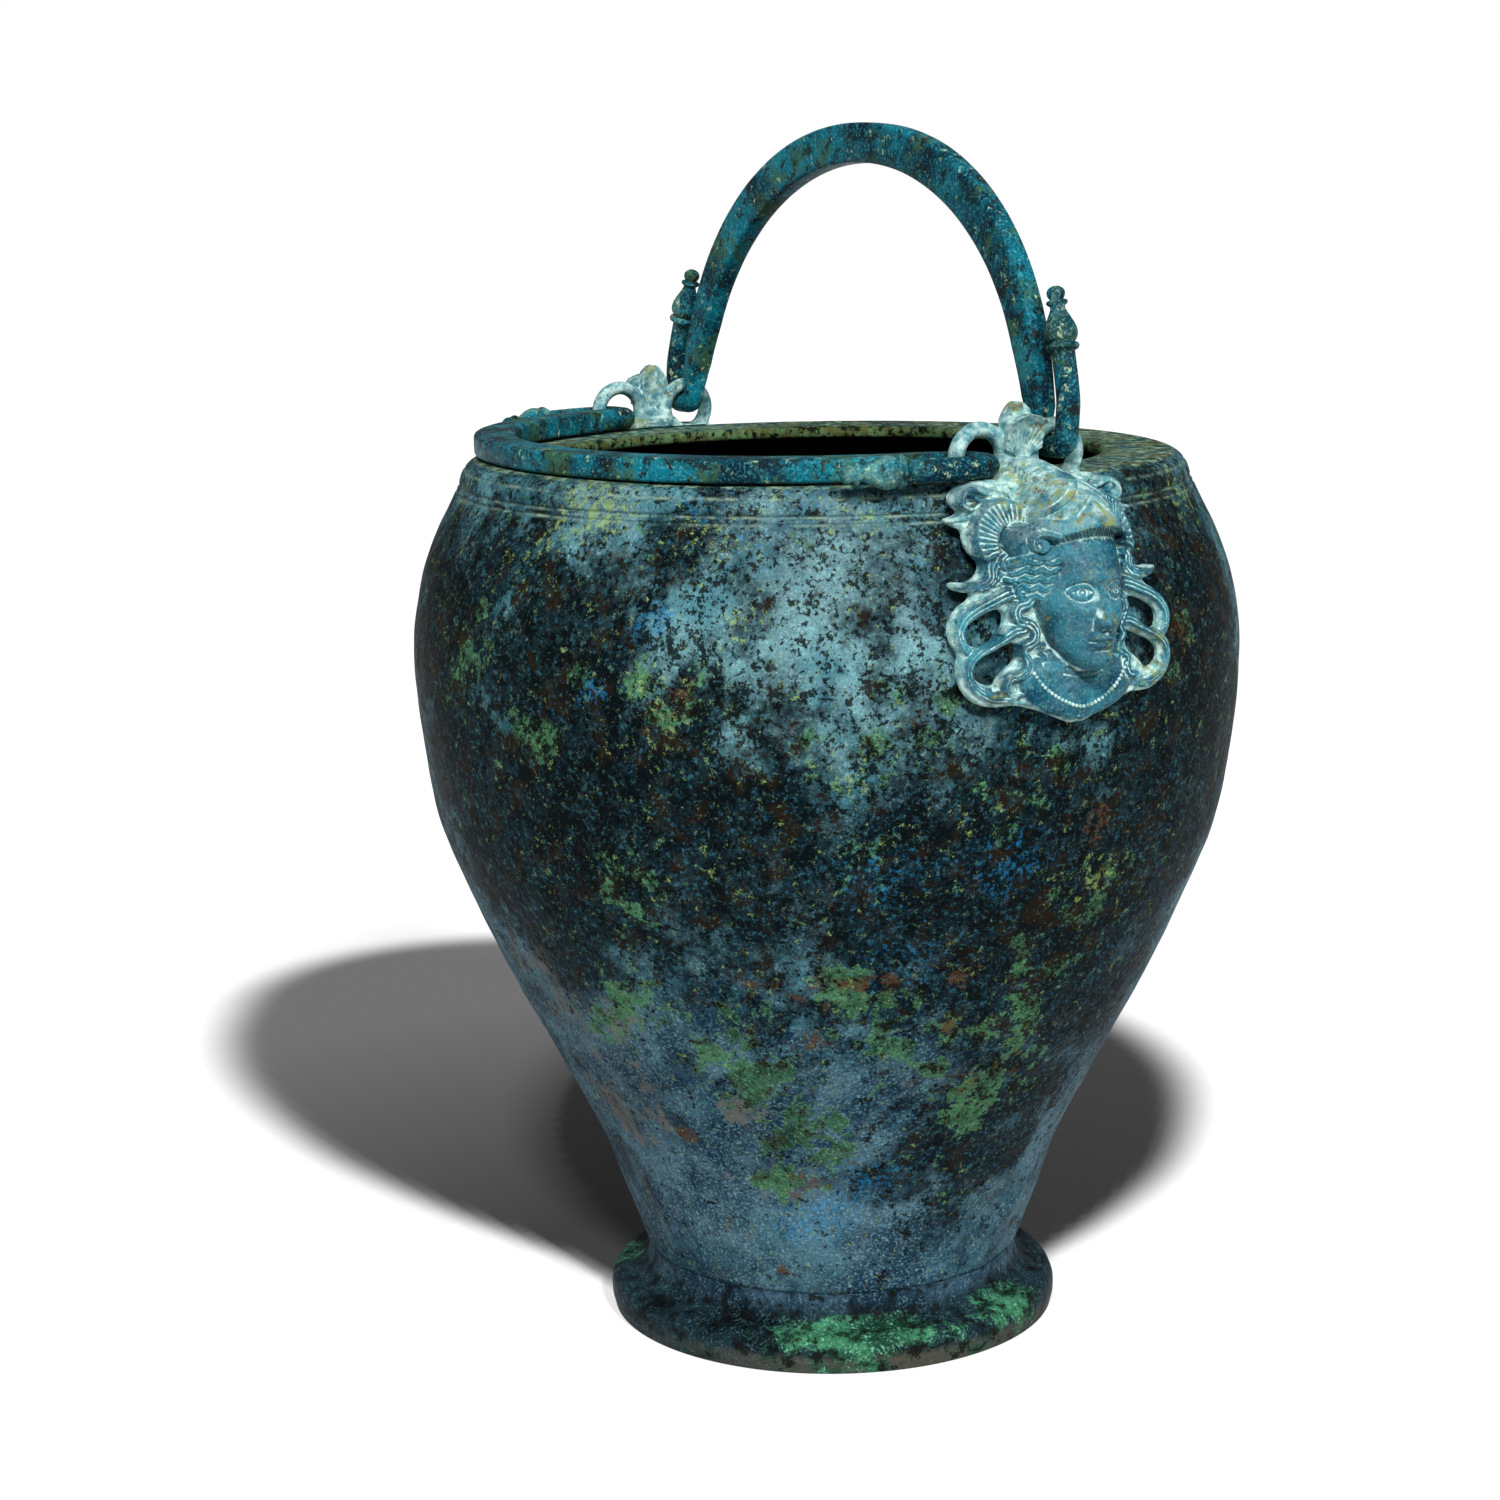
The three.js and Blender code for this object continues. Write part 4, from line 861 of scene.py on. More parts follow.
# The whole relief is softened a little, as a cast surface is
for axis in (0, 1):
    top = 0.5 * top + 0.25 * (np.roll(top, 1, axis) + np.roll(top, -1, axis))
front = reach(top)
plate_front = front.copy()


def lay(points, wide, rise, ground, strands=2):
    """A lock drawn straight onto a steep side, where it is raised over that ground."""
    window, dist, across, along = near(points, wide + 1)
    u = np.clip(across / wide, -1, 1)
    tall = rise * np.sqrt(np.clip(1 - u * u, 0, 1))
    phase = (u + 1) / 2 * strands
    inside = (np.round(phase) > 0) & (np.round(phase) < strands)
    tall -= 0.55 * inside * np.clip(1 - np.abs(phase - np.round(phase)) * 2 / 0.6, 0, 1)
    front[window] = np.where(dist <= wide, np.maximum(front[window], ground[window] + tall), front[window])


# Ear piece: a faceted knot standing on the side of the head, and the curl of hair in front of it
flank = 136.2 - 1.56 * (np.abs(X) - 12.6)
ear_outline = [(19.2, -14.4), (18.4, -12.1), (17.0, -10.4), (15.0, -9.4), (13.2, -10.2), (12.4, -13.5),
               (13.2, -17.2), (15.2, -18.9), (18.0, -18.4), (19.2, -16.4)]
ear_curl = [(11.2, -12.6), (12.6, -12.0), (14.2, -12.2), (15.2, -13.6), (15.0, -15.8), (14.0, -16.7),
            (13.3, -15.6), (13.5, -14.3), (14.1, -14.0)]
for side in (1, -1):
    knot = within(sided(ear_outline))
    ear_x, ear_v = (np.abs(X) - 16) * 2.0, V + 14.2
    facets = np.cos(math.pi / 6) / np.cos((np.arctan2(ear_v, ear_x) + 0.4) % (math.pi / 3) - math.pi / 6)
    slab = flank - 1.0 * np.clip(np.hypot(ear_x, ear_v) / facets / 5.0 - 0.55, 0, 1)
    slab = slab - 0.9 * np.clip(1 + knot / 0.9, 0, 1) ** 2
    front[:] = np.where(knot < 0, np.maximum(front, slab), front)
    lay(sided(ear_curl), 0.75, 1.6, flank)
    lay(sided([(11.4, -15.8), (12.2, -17.6), (13.4, -18.6), (15, -18.2)]), 0.7, 1.5, flank)
    for k in range(5):
        low = -18.6 - 2.5 * k
        wavy = [(11.0 + 0.1 * k, low), (12.1, low - 1.0), (13.3, low - 0.1), (14.6, low - 1.1),
                (15.9, low - 0.4), (17.2, low - 1.6), (18.6, low - 2.2)]
        lay(sided(wavy), 1.15, 1.5, flank - 0.8 - 1.0 * k, 3)

# Helmet: a dome with a triangular raised front, a heavy brow edge and a fringe of short curls
dome = 1 - (X / 13.8) ** 2 - ((V + 16) / 18) ** 2
helmet = np.where(dome > 0, HEAD_BACK + 17 * np.sqrt(np.maximum(dome, 0)), 0)
brow = -10.4 - 0.024 * X * X
slope_line = 4.1 - 0.78 * np.abs(X) - V
arch = -1.7 - 0.72 * np.abs(X) ** 1.06
in_front = (slope_line > 0) & (V > np.maximum(brow, -8.5))
helmet += np.where((slope_line > 0) & (V > brow), 1.4 * np.clip(slope_line / 0.5, 0, 1), 0)
helmet += 0.9 * ridge(slope_line, 0.75, 0.55) * in_front
helmet -= 0.9 * ridge(slope_line, 1.75, 0.5) * in_front
helmet += 0.5 * ridge(slope_line, 2.6, 0.45) * in_front
helmet -= 0.8 * (slope_line > 3.1) * (V > arch) * in_front
helmet += 0.8 * ridge(V, arch, 0.5) * (np.abs(X) < 7.5) * (slope_line > 1)
helmet -= 0.5 * ridge(V - arch, -1.1, 0.5) * (np.abs(X) < 6)
above_brow = V - brow
helmet += 1.5 * hump(above_brow, 1.6, 1.9) + 0.7 * hump(above_brow, 0.5, 0.6)
for side in (1, -1):
    for cx, cv, turn in ((11.6, -3.6, 44), (9.4, -0.9, 38), (6.8, 1.2, 28), (10.2, -5.4, 44), (4.2, 2.6, 15)):
        a = math.radians(turn) * -side
        px, pv = X - side * cx, V - cv
        along, over = px * math.cos(a) + pv * math.sin(a), -px * math.sin(a) + pv * math.cos(a)
        oval = np.sqrt((along / 1.9) ** 2 + (over / 1.15) ** 2)
        scale = 0.7 * np.sqrt(np.clip(1 - oval ** 2, 0, 1)) + 0.4 * ridge(oval, 1, 0.2)
        helmet += scale * (slope_line < 0.2)
helmet = np.where(V > brow, helmet, 0)
fringe_v = brow - V
fringe = HEAD_BACK + 14.9 * np.sqrt(np.maximum(dome, 0)) + 0.25 * np.clip(3.2 - fringe_v, 0, 3.2)
strand = np.abs(((X * 0.95 + 0.3 * np.sign(X) * fringe_v) % 1) - 0.5) * 2
fringe -= 0.75 * np.clip(strand - 0.35, 0, 1) / 0.65
fringe -= 1.2 * np.clip((fringe_v - 2.7) / 0.6, 0, 1)
fringe = np.where((fringe_v > 0) & (fringe_v < 3.4) & (dome > 0.02), fringe, 0)

# Face: calm and plain, on the usual thirds, full at the brow and rounded to the chin
HAIRLINE, BROWS, EYES, NOSE, LIPS = -13.5, -25.0, -27.8, -37.2, -41.1
half_width = np.interp(V, [-50.0, -49.1, -47.5, -45.1, -41.8, -36.6, -31, -25.5, -19, -12, -8],
                       [0.01, 3.5, 6.1, 8.2, 10.1, 11.7, 12.6, 12.8, 12.4, 11.4, 10])
middle = np.interp(
    V, [-50.0, -49.5, -48.5, -47, -45.4, -43.8, -41.8, -38.5, -34, -29, -25.5, -21, -17, -13, -9],
    [137, 141.4, 143.4, 144.4, 144.5, 143.8, 144.2, 144.4, 144.4, 143.9, 144.2, 143.4, 141.8, 139, 135.5])
kernel = np.exp(-np.linspace(-2, 2, int(round(4 / STEP)) + 1) ** 2 / 0.9)
kernel /= kernel.sum()
pad = len(kernel) // 2


def blurred(row):
    return np.convolve(np.pad(row, pad, mode="edge"), kernel, "valid")


def soften(a, axis=1):
    """Blurs a relief, up and down the plate or across it."""
    return np.apply_along_axis(blurred, axis, a)


half_width, middle = soften(half_width), soften(middle)
u = np.clip(np.abs(X) / np.maximum(half_width, 0.01), 0, 1)
face = FACE_BACK + (middle - FACE_BACK) * (1 - u ** 2.25) ** (1 / 2.1)


def bump(x, v, wide, tall, turn=0.0, power=1.0):
    """1 at a place on the face, falling to 0 at an oval round it."""
    a = math.radians(turn)
    px, pv = X - x, V - v
    along, over = px * math.cos(a) + pv * math.sin(a), -px * math.sin(a) + pv * math.cos(a)
    return np.exp(-((along / wide) ** 2 + (over / tall) ** 2) ** power)


for side in (1, -1):
    eye = side * 5.6
    face -= 2.0 * bump(side * 5.0, EYES + 0.4, 4.2, 2.8)
    face += 1.0 * bump(side * 6.2, BROWS + 0.6, 4.6, 1.5, -7 * side)
    face += 0.9 * bump(side * 7.6, -34.2, 4.0, 3.6)
    face -= 0.5 * bump(side * 6.4, -39.6, 2.4, 3.2)
    ball = np.sqrt(np.clip(1 - ((X - eye) / 3.1) ** 2 - ((V - EYES) / 2.4) ** 2, 0, 1))
    face += 1.25 * ball
    lid = EYES + 1.35 * (1 - ((X - eye) / 3.0) ** 2)
    under_lid = EYES - 1.05 * (1 - ((X - eye) / 3.0) ** 2)
    width = np.abs(X - eye) < 3.3
    face += 0.55 * hump(V - lid, 0.2, 0.42) * width
    face -= 0.45 * hump(V - lid, 1.25, 0.4) * width
    face += 0.4 * hump(V - under_lid, -0.15, 0.38) * width
    iris = np.hypot(X - eye, V - EYES - 0.1)
    face -= 0.3 * hump(iris, 1.15, 0.22) * (V < lid) * (V > under_lid)
    face -= 0.35 * hump(iris, 0, 0.4)
nose_rise = np.interp(V, [NOSE - 1.3, NOSE - 0.3, NOSE + 1.0, NOSE + 2.4, NOSE + 6, BROWS - 1, BROWS + 2.5],
                      [0, 2.6, 4.7, 4.8, 3.1, 1.5, 0.2])
nose_half = np.interp(V, [NOSE - 1.3, NOSE, NOSE + 1.6, NOSE + 4.5, BROWS - 1.5, BROWS + 2.5],
                      [1.8, 2.4, 2.2, 1.6, 1.6, 3.4])
face += soften(nose_rise) * np.exp(-(np.abs(X) / soften(nose_half)) ** 2.3)
for side in (1, -1):
    face += 1.7 * bump(side * 2.2, NOSE + 1.0, 1.1, 1.35)
    face -= 0.9 * bump(side * 1.25, NOSE - 0.6, 0.6, 0.5)
    face -= 0.3 * bump(side * 3.5, NOSE + 1.2, 0.5, 1.6)
mouth_x = np.clip(1 - (X / 4.6) ** 2, 0, 1)
parting = LIPS - 0.25 * (1 - mouth_x) + 0.12 * np.cos(X * 1.3)
face += 1.3 * bump(0, LIPS + 0.2, 4.6, 3.0)
face += 0.95 * hump(V - parting, 0.95, 0.8) * mouth_x ** 0.7 * (1 - 0.25 * hump(X, 0, 0.8))
face += 1.15 * hump(V - parting, -1.1, 0.95) * np.clip(1 - (X / 4.0) ** 2, 0, 1) ** 0.8
face -= 1.0 * hump(V, parting, 0.3) * mouth_x ** 0.5
face -= 0.3 * bump(0, NOSE - 1.9, 0.6, 1.2)
face -= 0.6 * bump(0, LIPS - 2.7, 3.2, 0.9)
face += 0.9 * bump(0, -46.7, 3.4, 2.1)
face = np.where((V > -49.9) & (V < HAIRLINE + 3.5) & (u < 1), face, 0)
face = np.minimum(face, FOREMOST)
neck_half = 8.6 + 0.3 * np.clip(-47 - V, 0, 8)
neck = 131.5 + 1.5 * np.sqrt(np.clip(1 - (X / neck_half) ** 2, 0, 1)) - 0.10 * np.clip(-40 - V, 0, 20)
neck = np.where((np.abs(X) < neck_half) & (V < -38) & (V > -54), neck, 0)
front = np.maximum(front, np.maximum(np.maximum(helmet, fringe), np.maximum(face, neck)))

# Where the low ground between the forms lies open, and pale deposit has gathered
open_ground = np.clip((6.4 - top) / 0.8, 0, 1) * (front - plate_front < 0.4)
open_ground[:, vs > 1] *= 0.6
open_ground = soften(soften(open_ground), 0)

# Everything as one solid: inside where the number is negative
form = np.empty((len(xs), len(ys), len(vs)), np.float32)
form[:] = ys[None, :, None] - front[:, None, :]
np.maximum(form, plate[:, None, :].astype(np.float32), out=form)
r_grid = np.hypot(xs[:, None] + CENTRE, ys[None, :])
lift = np.empty_like(form)
for k in range(len(vs)):
    lift[:, :, k] = np.interp(r_grid, table_r, off_body[:, k])
np.maximum(form, PLATE_BACK - lift, out=form)
k0 = np.searchsorted(vs, -10.0)
XX, YY, VV = (a.astype(np.float32) for a in np.meshgrid(xs, ys, vs[k0:], indexing="ij", sparse=True))
upper_lift = lift[:, :, k0:]


def blend_in(a, b, soft):
    """Joins two forms with a smooth fillet between them."""
    h = np.clip(0.5 + 0.5 * (b - a) / soft, 0, 1)
    return b + (a - b) * h - soft * h * (1 - h)


# The skirt that lies on the rim, the rings, the stem between them, the bridge over it and the palmette
part = form[:, :, k0:]
skirt = np.maximum(upper_lift - SKIRT, np.maximum(np.abs(XX) - SKIRT_HALF, 100.9 - YY))
skirt_top = np.interp(np.abs(xs), [8.5, 11.5], [3.1, 0.4]).astype(np.float32)[:, None, None]
skirt = np.maximum(np.maximum(skirt, VV - skirt_top), -8.5 - VV)
part = blend_in(part, skirt, 1.2)
arounds = [np.sqrt((XX - side * RING_X) ** 2 + (VV - RING_V) ** 2) for side in (1, -1)]
for around in arounds:
    ring = np.sqrt(((around - RING_RADIUS) / RING_BAR) ** 2 + ((YY - RING_Y) / RING_DEPTH) ** 2)
    part = blend_in(part, (ring - 1) * RING_BAR, 1.4)
stem = np.maximum(np.abs(XX) - STEM_HALF, VV - (STEM_TOP - 0.22 * XX * XX))
flute = 0.45 * np.abs(np.sin(XX * 1.05)) * (VV > 9)
stem = np.maximum(stem, np.maximum(YY - 105.6 + flute - 0.05 * (VV - 8), 101.6 - YY))
part = blend_in(part, stem, 0.9)
slope = np.interp(
    ys, [98, 106, 111, 117, 124, 130], [6, 6.2, 5.6, 4.4, 2.6, -1]).astype(np.float32)[None, :, None]
bridge = np.maximum(np.abs(XX) - 5.4 - 0.25 * np.clip(3 - VV, 0, 6), VV - slope + 0.05 * XX * XX)
bridge = np.maximum(bridge, np.maximum(YY - 129, 101.2 - YY))
bridge -= 0.12 * np.sin(YY * 3.4) * (YY > 108) * (YY < 122)
part = blend_in(part, bridge, 1.2)
fan_r = np.sqrt(XX ** 2 + (VV - FAN_HUB) ** 2)
fan_turn = np.arctan2(XX, VV - FAN_HUB)
fan_edge = FAN_RADIUS - 1.8 * np.abs(fan_turn) ** 1.6
fan_rib = np.abs((fan_turn / FAN_TURN * 6.5) % 1 - 0.5) * 2
fan_front = 107.0 + 0.02 * fan_r ** 2 + 1.1 * np.clip((fan_r - fan_edge + 2.0) / 2, 0, 1)
fan_front = fan_front - 0.75 * np.clip(fan_rib - 0.45, 0, 1) * np.clip((fan_r - 2.5) / 2, 0, 1)
fan = np.maximum(np.maximum(fan_r - fan_edge, np.abs(fan_turn) * 5 - 5.2),
                 np.maximum(YY - fan_front, 103.5 - YY))
fan = np.maximum(fan, np.abs(XX) - 6.1)
part = blend_in(part, fan, 0.5)
part = np.maximum(part, 0.32 - upper_lift)
for around in arounds:
    part = np.maximum(part, np.minimum(RING_HOLE - around, 112.5 - YY))
form[:, :, k0:] = part
del part, upper_lift, lift


def skin_of(form, origin, step):
    """Vertices and faces of the zero surface of a form on a grid."""
    inside = form < 0
    n = np.array(form.shape) - 1
    corners = [(i, j, k) for i in (0, 1) for j in (0, 1) for k in (0, 1)]
    mixed = np.zeros(n, np.int8)
    for i, j, k in corners:
        mixed += inside[i:i + n[0], j:j + n[1], k:k + n[2]]
    active = np.argwhere((mixed > 0) & (mixed < 8))
    number = np.full(n, -1, np.int32)
    number[tuple(active.T)] = np.arange(len(active))
    value = {c: form[tuple((active + c).T)] for c in corners}
    total, hits = np.zeros((len(active), 3)), np.zeros(len(active))
    for c in corners:
        for axis in range(3):
            if c[axis]:
                continue
            d = tuple(v + (a == axis) for a, v in enumerate(c))
            a, b = value[c], value[d]
            cut = (a < 0) != (b < 0)
            share = np.where(cut, a / np.where(cut, a - b, 1), 0)
            point = np.array(c, float)[None].repeat(len(active), 0)
            point[:, axis] += share
            total += point * cut[:, None]
            hits += cut
    points = (active + total / hits[:, None]) * step + origin
    faces = []
    for axis in range(3):
        b, c = (axis + 1) % 3, (axis + 2) % 3
        low = [slice(1, -1)] * 3
        low[axis] = slice(0, -1)
        high = list(low)
        high[axis] = slice(1, None)
        first, second = inside[tuple(low)], inside[tuple(high)]
        for here, flipped in ((first & ~second, False), (~first & second, True)):
            at = np.argwhere(here)
            at += np.array([0 if a == axis else 1 for a in range(3)])
            around = []
            for db, dc in ((0, 0), (1, 0), (1, 1), (0, 1)):
                cell = at.copy()
                cell[:, b] -= 1 - db
                cell[:, c] -= 1 - dc
                around.append(number[tuple(cell.T)])
            quad = np.stack(around, 1)
            faces.append(quad[:, ::-1] if flipped else quad)
    return points, np.vstack(faces)


points, quads = skin_of(form, np.array([xs[0], ys[0], vs[0]]), STEP)
del form
links = np.vstack([quads[:, [0, 1]], quads[:, [1, 2]], quads[:, [2, 3]], quads[:, [3, 0]]])


def relaxed(points, links, rounds, share):
    """Each point moved towards the middle of its neighbours."""
    count = np.bincount(links.ravel(), minlength=len(points))[:, None]
    p = points.copy()
    for _ in range(rounds):
        total = np.zeros_like(p)
        for a in range(3):
            total[:, a] = (np.bincount(links[:, 0], p[links[:, 1], a], len(p))
                           + np.bincount(links[:, 1], p[links[:, 0], a], len(p)))
        p = p + share * (total / np.maximum(count, 1) - p)
    return p


points = relaxed(points, links, 1, 0.5)
points = relaxed(points, links, 1, -0.35)
# Ochre stains on the castings: across and up from the rim's middle, radius in mm, strength
stains = [(-7, 0, 7, 0.7), (2, -8, 5, 0.9), (-4, -8, 4, 0.6), (1, -34, 4, 0.7), (2, -25, 4, 0.5),
          (3, -44, 6, 0.7), (-13, -5, 6, 0.5), (4, 14, 6, 0.7), (-2, 20, 4, 0.8), (27, -52, 8, 0.6),
          (32, -44, 5, 0.6), (-25, -57, 6, 0.5), (20, -45, 6, 0.5)]


def read(rows, name, wide, kind=float):
    """One value of each row of a mesh, such as the place of each vertex in metres."""
    values = np.zeros(len(rows) * wide, kind)
    rows.foreach_get(name, values)
    return values.reshape(-1, wide)


def hollows(made, rounds=9):
    """Marks what lies in recesses and what stands on edges, for deposits and wear."""
    p = read(made.data.vertices, "co", 3)
    n = read(made.data.vertex_normals, "vector", 3)
    e = read(made.data.edges, "vertices", 2, np.int64)
    depth = ((relaxed(p, e, rounds, 0.6) - p) * n).sum(1) / MM
    keep_mask(made, "hollow", np.clip(depth / 0.14, 0, 1))
    keep_mask(made, "worn", np.clip(-depth / 0.16, 0, 1))
    i = np.clip(np.round((p[:, 0] / MM - CENTRE - xs[0]) / STEP).astype(int), 0, len(xs) - 1)
    k = np.clip(np.round((p[:, 2] / MM - RIM_HEIGHT - vs[0]) / STEP).astype(int), 0, len(vs) - 1)
    keep_mask(made, "ground", open_ground[i, k])
    x, v = p[:, 0] / MM - CENTRE, p[:, 2] / MM - RIM_HEIGHT
    stained = np.zeros(len(p))
    for at_x, at_v, size, strength in stains:
        away = np.hypot(x - at_x, v - at_v) / size
        stained = np.maximum(stained, strength * np.clip(1 - away ** 2, 0, 1))
    keep_mask(made, "stained", stained)
    keep_mask(made, "high", np.clip((v + 17) / 15, 0.12, 1) * np.where(p[:, 1] > 0, 0.45, 1))


def made_plain(made):
    """Turns what a piece's modifiers make of it into its own smooth mesh."""
    finished = bpy.data.meshes.new_from_object(made.evaluated_get(bpy.context.evaluated_depsgraph_get()))
    made.modifiers.clear()
    made.data = finished
    finished.name = made.name
    finished.polygons.foreach_set("use_smooth", [True] * len(finished.polygons))


def casting(name, side):
    """One casting, in front of the vessel for side 1 and behind it for side -1."""
    placed = np.stack([points[:, 0] + CENTRE, -side * points[:, 1], points[:, 2] + RIM_HEIGHT], 1)
    made = piece(name, placed, quads[:, ::-1] if side > 0 else quads)
    made.modifiers.new("thin", "DECIMATE").ratio = min(1.0, MOST_TRIANGLES / (2 * len(quads)))
    made_plain(made)
    hollows(made)
    return made


mask_bronze, t, shader = material("pale turquoise mask bronze")
place = t.add("ShaderNodeTexCoord", out=3)
cloud = t.noise(place, 16, 3, 0.5)
skin = crusted(t, place, cloud, (6, 54, 76), (40, 112, 130), (112, 178, 184), 0.4)
dust = t.noise(place, 5, 4, 0.6)
settled = t.math("MAXIMUM", t.attribute("hollow"), t.scaled(t.attribute("ground"), 0.75))
deposit = t.step(t.scaled(dust, 0.7, settled), 0.52, 1.0)
bloom = t.scaled(t.step(t.noise(place, 12, 4, 0.6), 0.37, 0.55), t.attribute("high"))
deposit = t.math("MAXIMUM", deposit, t.scaled(bloom, t.scaled(t.attribute("worn"), -0.5, 0.85)))
whitish = t.mix(t.step(t.noise(place, 2.5, 4, 0.65), 0.35, 0.65), srgb(104, 160, 162), srgb(196, 226, 218))
colour = t.over(skin["Colour"], deposit, 0.88, whitish)
ochre_spread = t.scaled(t.attribute("stained"), 0.28, 0.3)
ochre = patched(t, place, ochre_spread, 2.4, 0.8, 0.07)["Mask"]
ochre_colour = t.mix(t.step(t.noise(place, 4, 3), 0.45, 0.6), srgb(132, 140, 62), srgb(88, 74, 36))
colour = t.over(colour, ochre, 0.75, ochre_colour)
pits = patched(t, place, 0.33, 2.0, 0.3, 0.04)["Mask"]
colour = t.over(colour, pits, 0.7, srgb(14, 44, 54))
height = t.scaled(pits, -0.5, skin["Height"])
surface(t, shader, colour, t.scaled(deposit, 0.3, 0.48), 0.08, height, 0.45, 0.0002)
for name, node, side in (("front_casting", "front_attachment", 1), ("back_casting", "back_attachment", -1)):
    made = casting(name, side)
    made.data.materials.append(mask_bronze)
    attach(made, "vessel")
    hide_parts(node)

# The necklaces are strings of small beads along the edge of each bust, cast in one with it and of the
# same bronze. Each bead is a little ball, set on a line drawn over the relief.
BEAD_RADIUS, BEAD_SPACING = 0.58, 1.25
necklace = through([(-15.2, -50.0), (-13.6, -52.6), (-10.8, -55.4), (-6, -58.4), (0, -60.2), (6, -58.4),
                    (10.8, -55.4), (13.6, -52.6), (15.2, -50.0)], 90)
beads = bpy.data.node_groups.new("string of beads", "GeometryNodeTree")
beads.interface.new_socket("Geometry", in_out="INPUT", socket_type="NodeSocketGeometry")
for socket in ("Spacing", "Bead radius"):
    beads.interface.new_socket(socket, in_out="INPUT", socket_type=VALUE)
beads.interface.new_socket("Metal", in_out="INPUT", socket_type="NodeSocketMaterial")
beads.interface.new_socket("Geometry", in_out="OUTPUT", socket_type="NodeSocketGeometry")
given = beads.nodes.new("NodeGroupInput").outputs
to_curve = beads.nodes.new("GeometryNodeMeshToCurve")
even = beads.nodes.new("GeometryNodeResampleCurve")
even.mode = "LENGTH"
ball = beads.nodes.new("GeometryNodeMeshIcoSphere")
ball.inputs["Subdivisions"].default_value = 2
strung = beads.nodes.new("GeometryNodeInstanceOnPoints")
real = beads.nodes.new("GeometryNodeRealizeInstances")
metal = beads.nodes.new("GeometryNodeSetMaterial")
ended = beads.nodes.new("NodeGroupOutput")
for a, b in ((given["Geometry"], to_curve.inputs["Mesh"]),
             (to_curve.outputs["Curve"], even.inputs["Curve"]),
             (given["Spacing"], even.inputs["Length"]),
             (given["Bead radius"], ball.inputs["Radius"]),
             (even.outputs["Curve"], strung.inputs["Points"]),
             (ball.outputs["Mesh"], strung.inputs["Instance"]),
             (strung.outputs["Instances"], real.inputs["Geometry"]),
             (real.outputs["Geometry"], metal.inputs["Geometry"]),
             (given["Metal"], metal.inputs["Material"]),
             (metal.outputs["Geometry"], ended.inputs["Geometry"])):
    beads.links.new(a, b)


def necklace_piece(name, side):
    """The string of small beads that lies along the edge of the bust."""
    rows = []
    for x, v in necklace:
        i, k = int(round((x - xs[0]) / STEP)), int(round((v - vs[0]) / STEP))
        rows.append((x + CENTRE, -side * (front[i, k] + 0.1), v + RIM_HEIGHT))
    mesh = bpy.data.meshes.new(name)
    mesh.from_pydata((np.array(rows) * MM).tolist(), [(k, k + 1) for k in range(len(rows) - 1)], [])
    made = in_scene(name, mesh)
    string = made.modifiers.new("beads", "NODES")
    string.node_group = beads
    wanted = {"Spacing": BEAD_SPACING * MM, "Bead radius": BEAD_RADIUS * MM, "Metal": mask_bronze}
    for item in beads.interface.items_tree:
        if item.in_out == "INPUT" and item.name in wanted:
            string[item.identifier] = wanted[item.name]
    made_plain(made)
    keep_mask(made, "ground", np.full(len(made.data.vertices), 1.5))
    return made


for name, side in (("front_necklace", 1), ("back_necklace", -1)):
    made = necklace_piece(name, side)
    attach(made, "vessel")

# The bails are two alike swing handles, each forged from one bar of bronze: a flat arch whose ends
# turn out through the rings and up again as round rods, each with a turned knob on its end.
BAIL_THICKNESS = 7.0
BAIL_RISE = 90.5
CROWN = 12.1
SHANK = 9.7
SHANK_FACE = 100.7
FULLNESS = 2.1
BAR_EDGE, ROUND_EDGE = 6.5, 2
NARROWING, NARROW_FROM, NARROW_OVER = 0.22, 30, 18
ARCH_FOOT = 13.0
HOOK_Y = 97.25
SEAT_Y = 104.3
ROD = 3.4
ROD_OFFSET = 9.4
INNER_BEND, HOOK_BEND = 4.0, 3.6
ROD_RISE = 27.0
ABOVE_RING = 11.7
KNOB = 18.5
BULB = 4.7
SECTION = 28
# Where the bar thins to a round rod: out from the middle, above the pivot, half sizes, edge, tilt
shank = [(96.95, 10.3, 3.76, 3.48, 5.0, 9), (97.05, 8.4, 3.64, 3.45, 3.6, 4),
         (97.15, 6.8, 3.54, 3.42, 2.6, 1), (HOOK_Y, 5.2, 3.42, 3.4, 2.05, 0)]
# The knob's turned outline: share of the bulb's radius, share of the knob's length
knob = [(0.76, 0), (1.0, 0.02), (1.06, 0.055), (1.0, 0.09), (0.8, 0.105), (0.78, 0.125), (0.86, 0.14),
        (0.95, 0.17), (1.03, 0.22), (1.05, 0.28), (1.0, 0.35), (0.88, 0.43), (0.72, 0.51), (0.56, 0.59),
        (0.47, 0.65), (0.47, 0.69), (0.6, 0.71), (0.68, 0.735), (0.66, 0.76), (0.5, 0.775), (0.42, 0.79),
        (0.5, 0.82), (0.57, 0.86), (0.57, 0.91), (0.47, 0.955), (0.28, 0.985), (0.02, 1.0)]


def rod_y(w):
    """How far out the end rod stands at a height above the pivot."""
    return SHANK_FACE * (1 - (max(w, 0) / BAIL_RISE) ** FULLNESS) ** (1 / FULLNESS) + ROD_OFFSET


